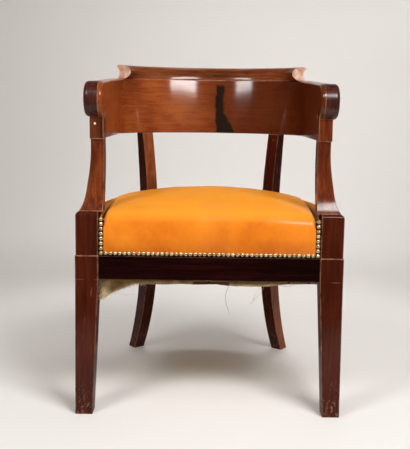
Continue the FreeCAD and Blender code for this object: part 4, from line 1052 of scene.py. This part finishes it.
def studio():
    """The sweep behind and under the chair, and the floor in front of it, which the polish doesn't mirror."""
    paper = pale_finish()
    profile = [(PAPER_FRONT, 0.0), (PAPER_REAR, 0.0)]
    for k in range(1, BEND_STEPS + 1):
        angle = k / BEND_STEPS * math.pi / 2
        profile.append((PAPER_REAR + PAPER_BEND * math.sin(angle), PAPER_BEND * (1 - math.cos(angle))))
    profile.append((PAPER_REAR + PAPER_BEND, PAPER_TOP))
    made = bmesh.new()
    left, right = ([made.verts.new((x, y, z)) for y, z in profile] for x in (-FLOOR_REACH, FLOOR_REACH))
    for k in range(len(profile) - 1):
        made.faces.new((left[k], right[k], right[k + 1], left[k + 1]))
    sweep = new_object("sweep", mesh_from(made, "sweep"), paper)
    smooth_shaded(sweep)
    front = bpy.data.meshes.new("floor_front")
    corners = [(-FLOOR_REACH, -FLOOR_REACH, 0), (FLOOR_REACH, -FLOOR_REACH, 0),
               (FLOOR_REACH, PAPER_FRONT, 0), (-FLOOR_REACH, PAPER_FRONT, 0)]
    front.from_pydata(corners, [], [(0, 1, 2, 3)])
    floor_front = new_object("floor_front", front, paper)
    floor_front.visible_glossy = False


studio()

# Light and camera
CHAIR_MIDDLE = Vector((0, 0, 0.55))
BACKDROP_RIGHT = Vector((0.6, 2.2, 0.6))
FLOOR_BEHIND = Vector((0.12, 0.88, 0.0))
DIM_COLOUR = (0.80, 0.68, 0.56)
DIM_STRENGTH = 0.12


def softbox(name, azimuth, elevation, distance, width, height, watts, aim=CHAIR_MIDDLE):
    """A soft light that looks at its aim; azimuth is counted to the right from the camera's side."""
    lamp = bpy.data.lights.new(name, "AREA")
    lamp.shape = "RECTANGLE"
    lamp.size = width
    lamp.size_y = height
    lamp.energy = watts
    light = bpy.data.objects.new(name, lamp)
    a, e = math.radians(azimuth), math.radians(elevation)
    towards = Vector((math.sin(a) * math.cos(e), -math.cos(a) * math.cos(e), math.sin(e)))
    light.location = aim + towards * distance
    light.rotation_euler = (aim - light.location).to_track_quat("-Z", "Y").to_euler()
    bpy.context.scene.collection.objects.link(light)
    return light


def lights():
    """Two boxes that the polish mirrors, one light from above, and two for the backdrop and the floor."""
    softbox("right", azimuth=30, elevation=37.5, distance=2.4, width=1.0, height=0.62, watts=46)
    softbox("left", azimuth=-35, elevation=36.5, distance=2.4, width=0.6, height=0.55, watts=21)
    above = softbox("above", azimuth=10, elevation=58, distance=2.4, width=1.0, height=1.0, watts=13)
    above.visible_glossy = False
    wash = softbox("wash", azimuth=14, elevation=55, distance=1.7, width=2.6, height=0.5, watts=4.2,
                   aim=BACKDROP_RIGHT)
    wash.data.spread = math.radians(90)
    behind = softbox("behind", azimuth=0, elevation=81, distance=2.23, width=0.7, height=0.3, watts=2.2,
                     aim=FLOOR_BEHIND)
    behind.data.spread = math.radians(70)
    behind.visible_glossy = False


def surroundings():
    """Dim warm light all round, and the plain background colour where the camera looks past the paper."""
    world = bpy.data.worlds.new("studio")
    world.use_nodes = True
    tree = world.node_tree
    dim = tree.nodes["Background"]
    dim.inputs["Color"].default_value = (*DIM_COLOUR, 1)
    dim.inputs["Strength"].default_value = DIM_STRENGTH
    pale = tree.nodes.new("ShaderNodeBackground")
    pale.inputs["Color"].default_value = (*PALE, 1)
    seen = tree.nodes.new("ShaderNodeLightPath")
    either = tree.nodes.new("ShaderNodeMixShader")
    tree.links.new(seen.outputs["Is Camera Ray"], either.inputs["Fac"])
    tree.links.new(dim.outputs[0], either.inputs[1])
    tree.links.new(pale.outputs[0], either.inputs[2])
    tree.links.new(either.outputs[0], tree.nodes["World Output"].inputs["Surface"])
    bpy.context.scene.world = world


def aim_camera():
    pitch, yaw, roll = (math.radians(angle) for angle in (CAMERA_PITCH, CAMERA_YAW, CAMERA_ROLL))
    forward = Vector((math.sin(yaw) * math.cos(pitch), math.cos(yaw) * math.cos(pitch), -math.sin(pitch)))
    level = Vector((math.cos(yaw), -math.sin(yaw), 0))
    upright = level.cross(forward)
    across = math.cos(roll) * level + math.sin(roll) * upright
    above = across.cross(forward)
    lens = bpy.data.cameras.new("camera")
    lens.sensor_width = SENSOR
    lens.lens = FOCAL_PIXELS * SENSOR / max(IMAGE_WIDTH, IMAGE_HEIGHT)
    camera = bpy.data.objects.new("camera", lens)
    bpy.context.scene.collection.objects.link(camera)
    turn = Matrix((across, above, -forward)).transposed().to_4x4()
    camera.matrix_world = Matrix.Translation(CAMERA_PLACE) @ turn
    bpy.context.scene.camera = camera


lights()
surroundings()
aim_camera()
bpy.context.scene.view_settings.view_transform = "Standard"
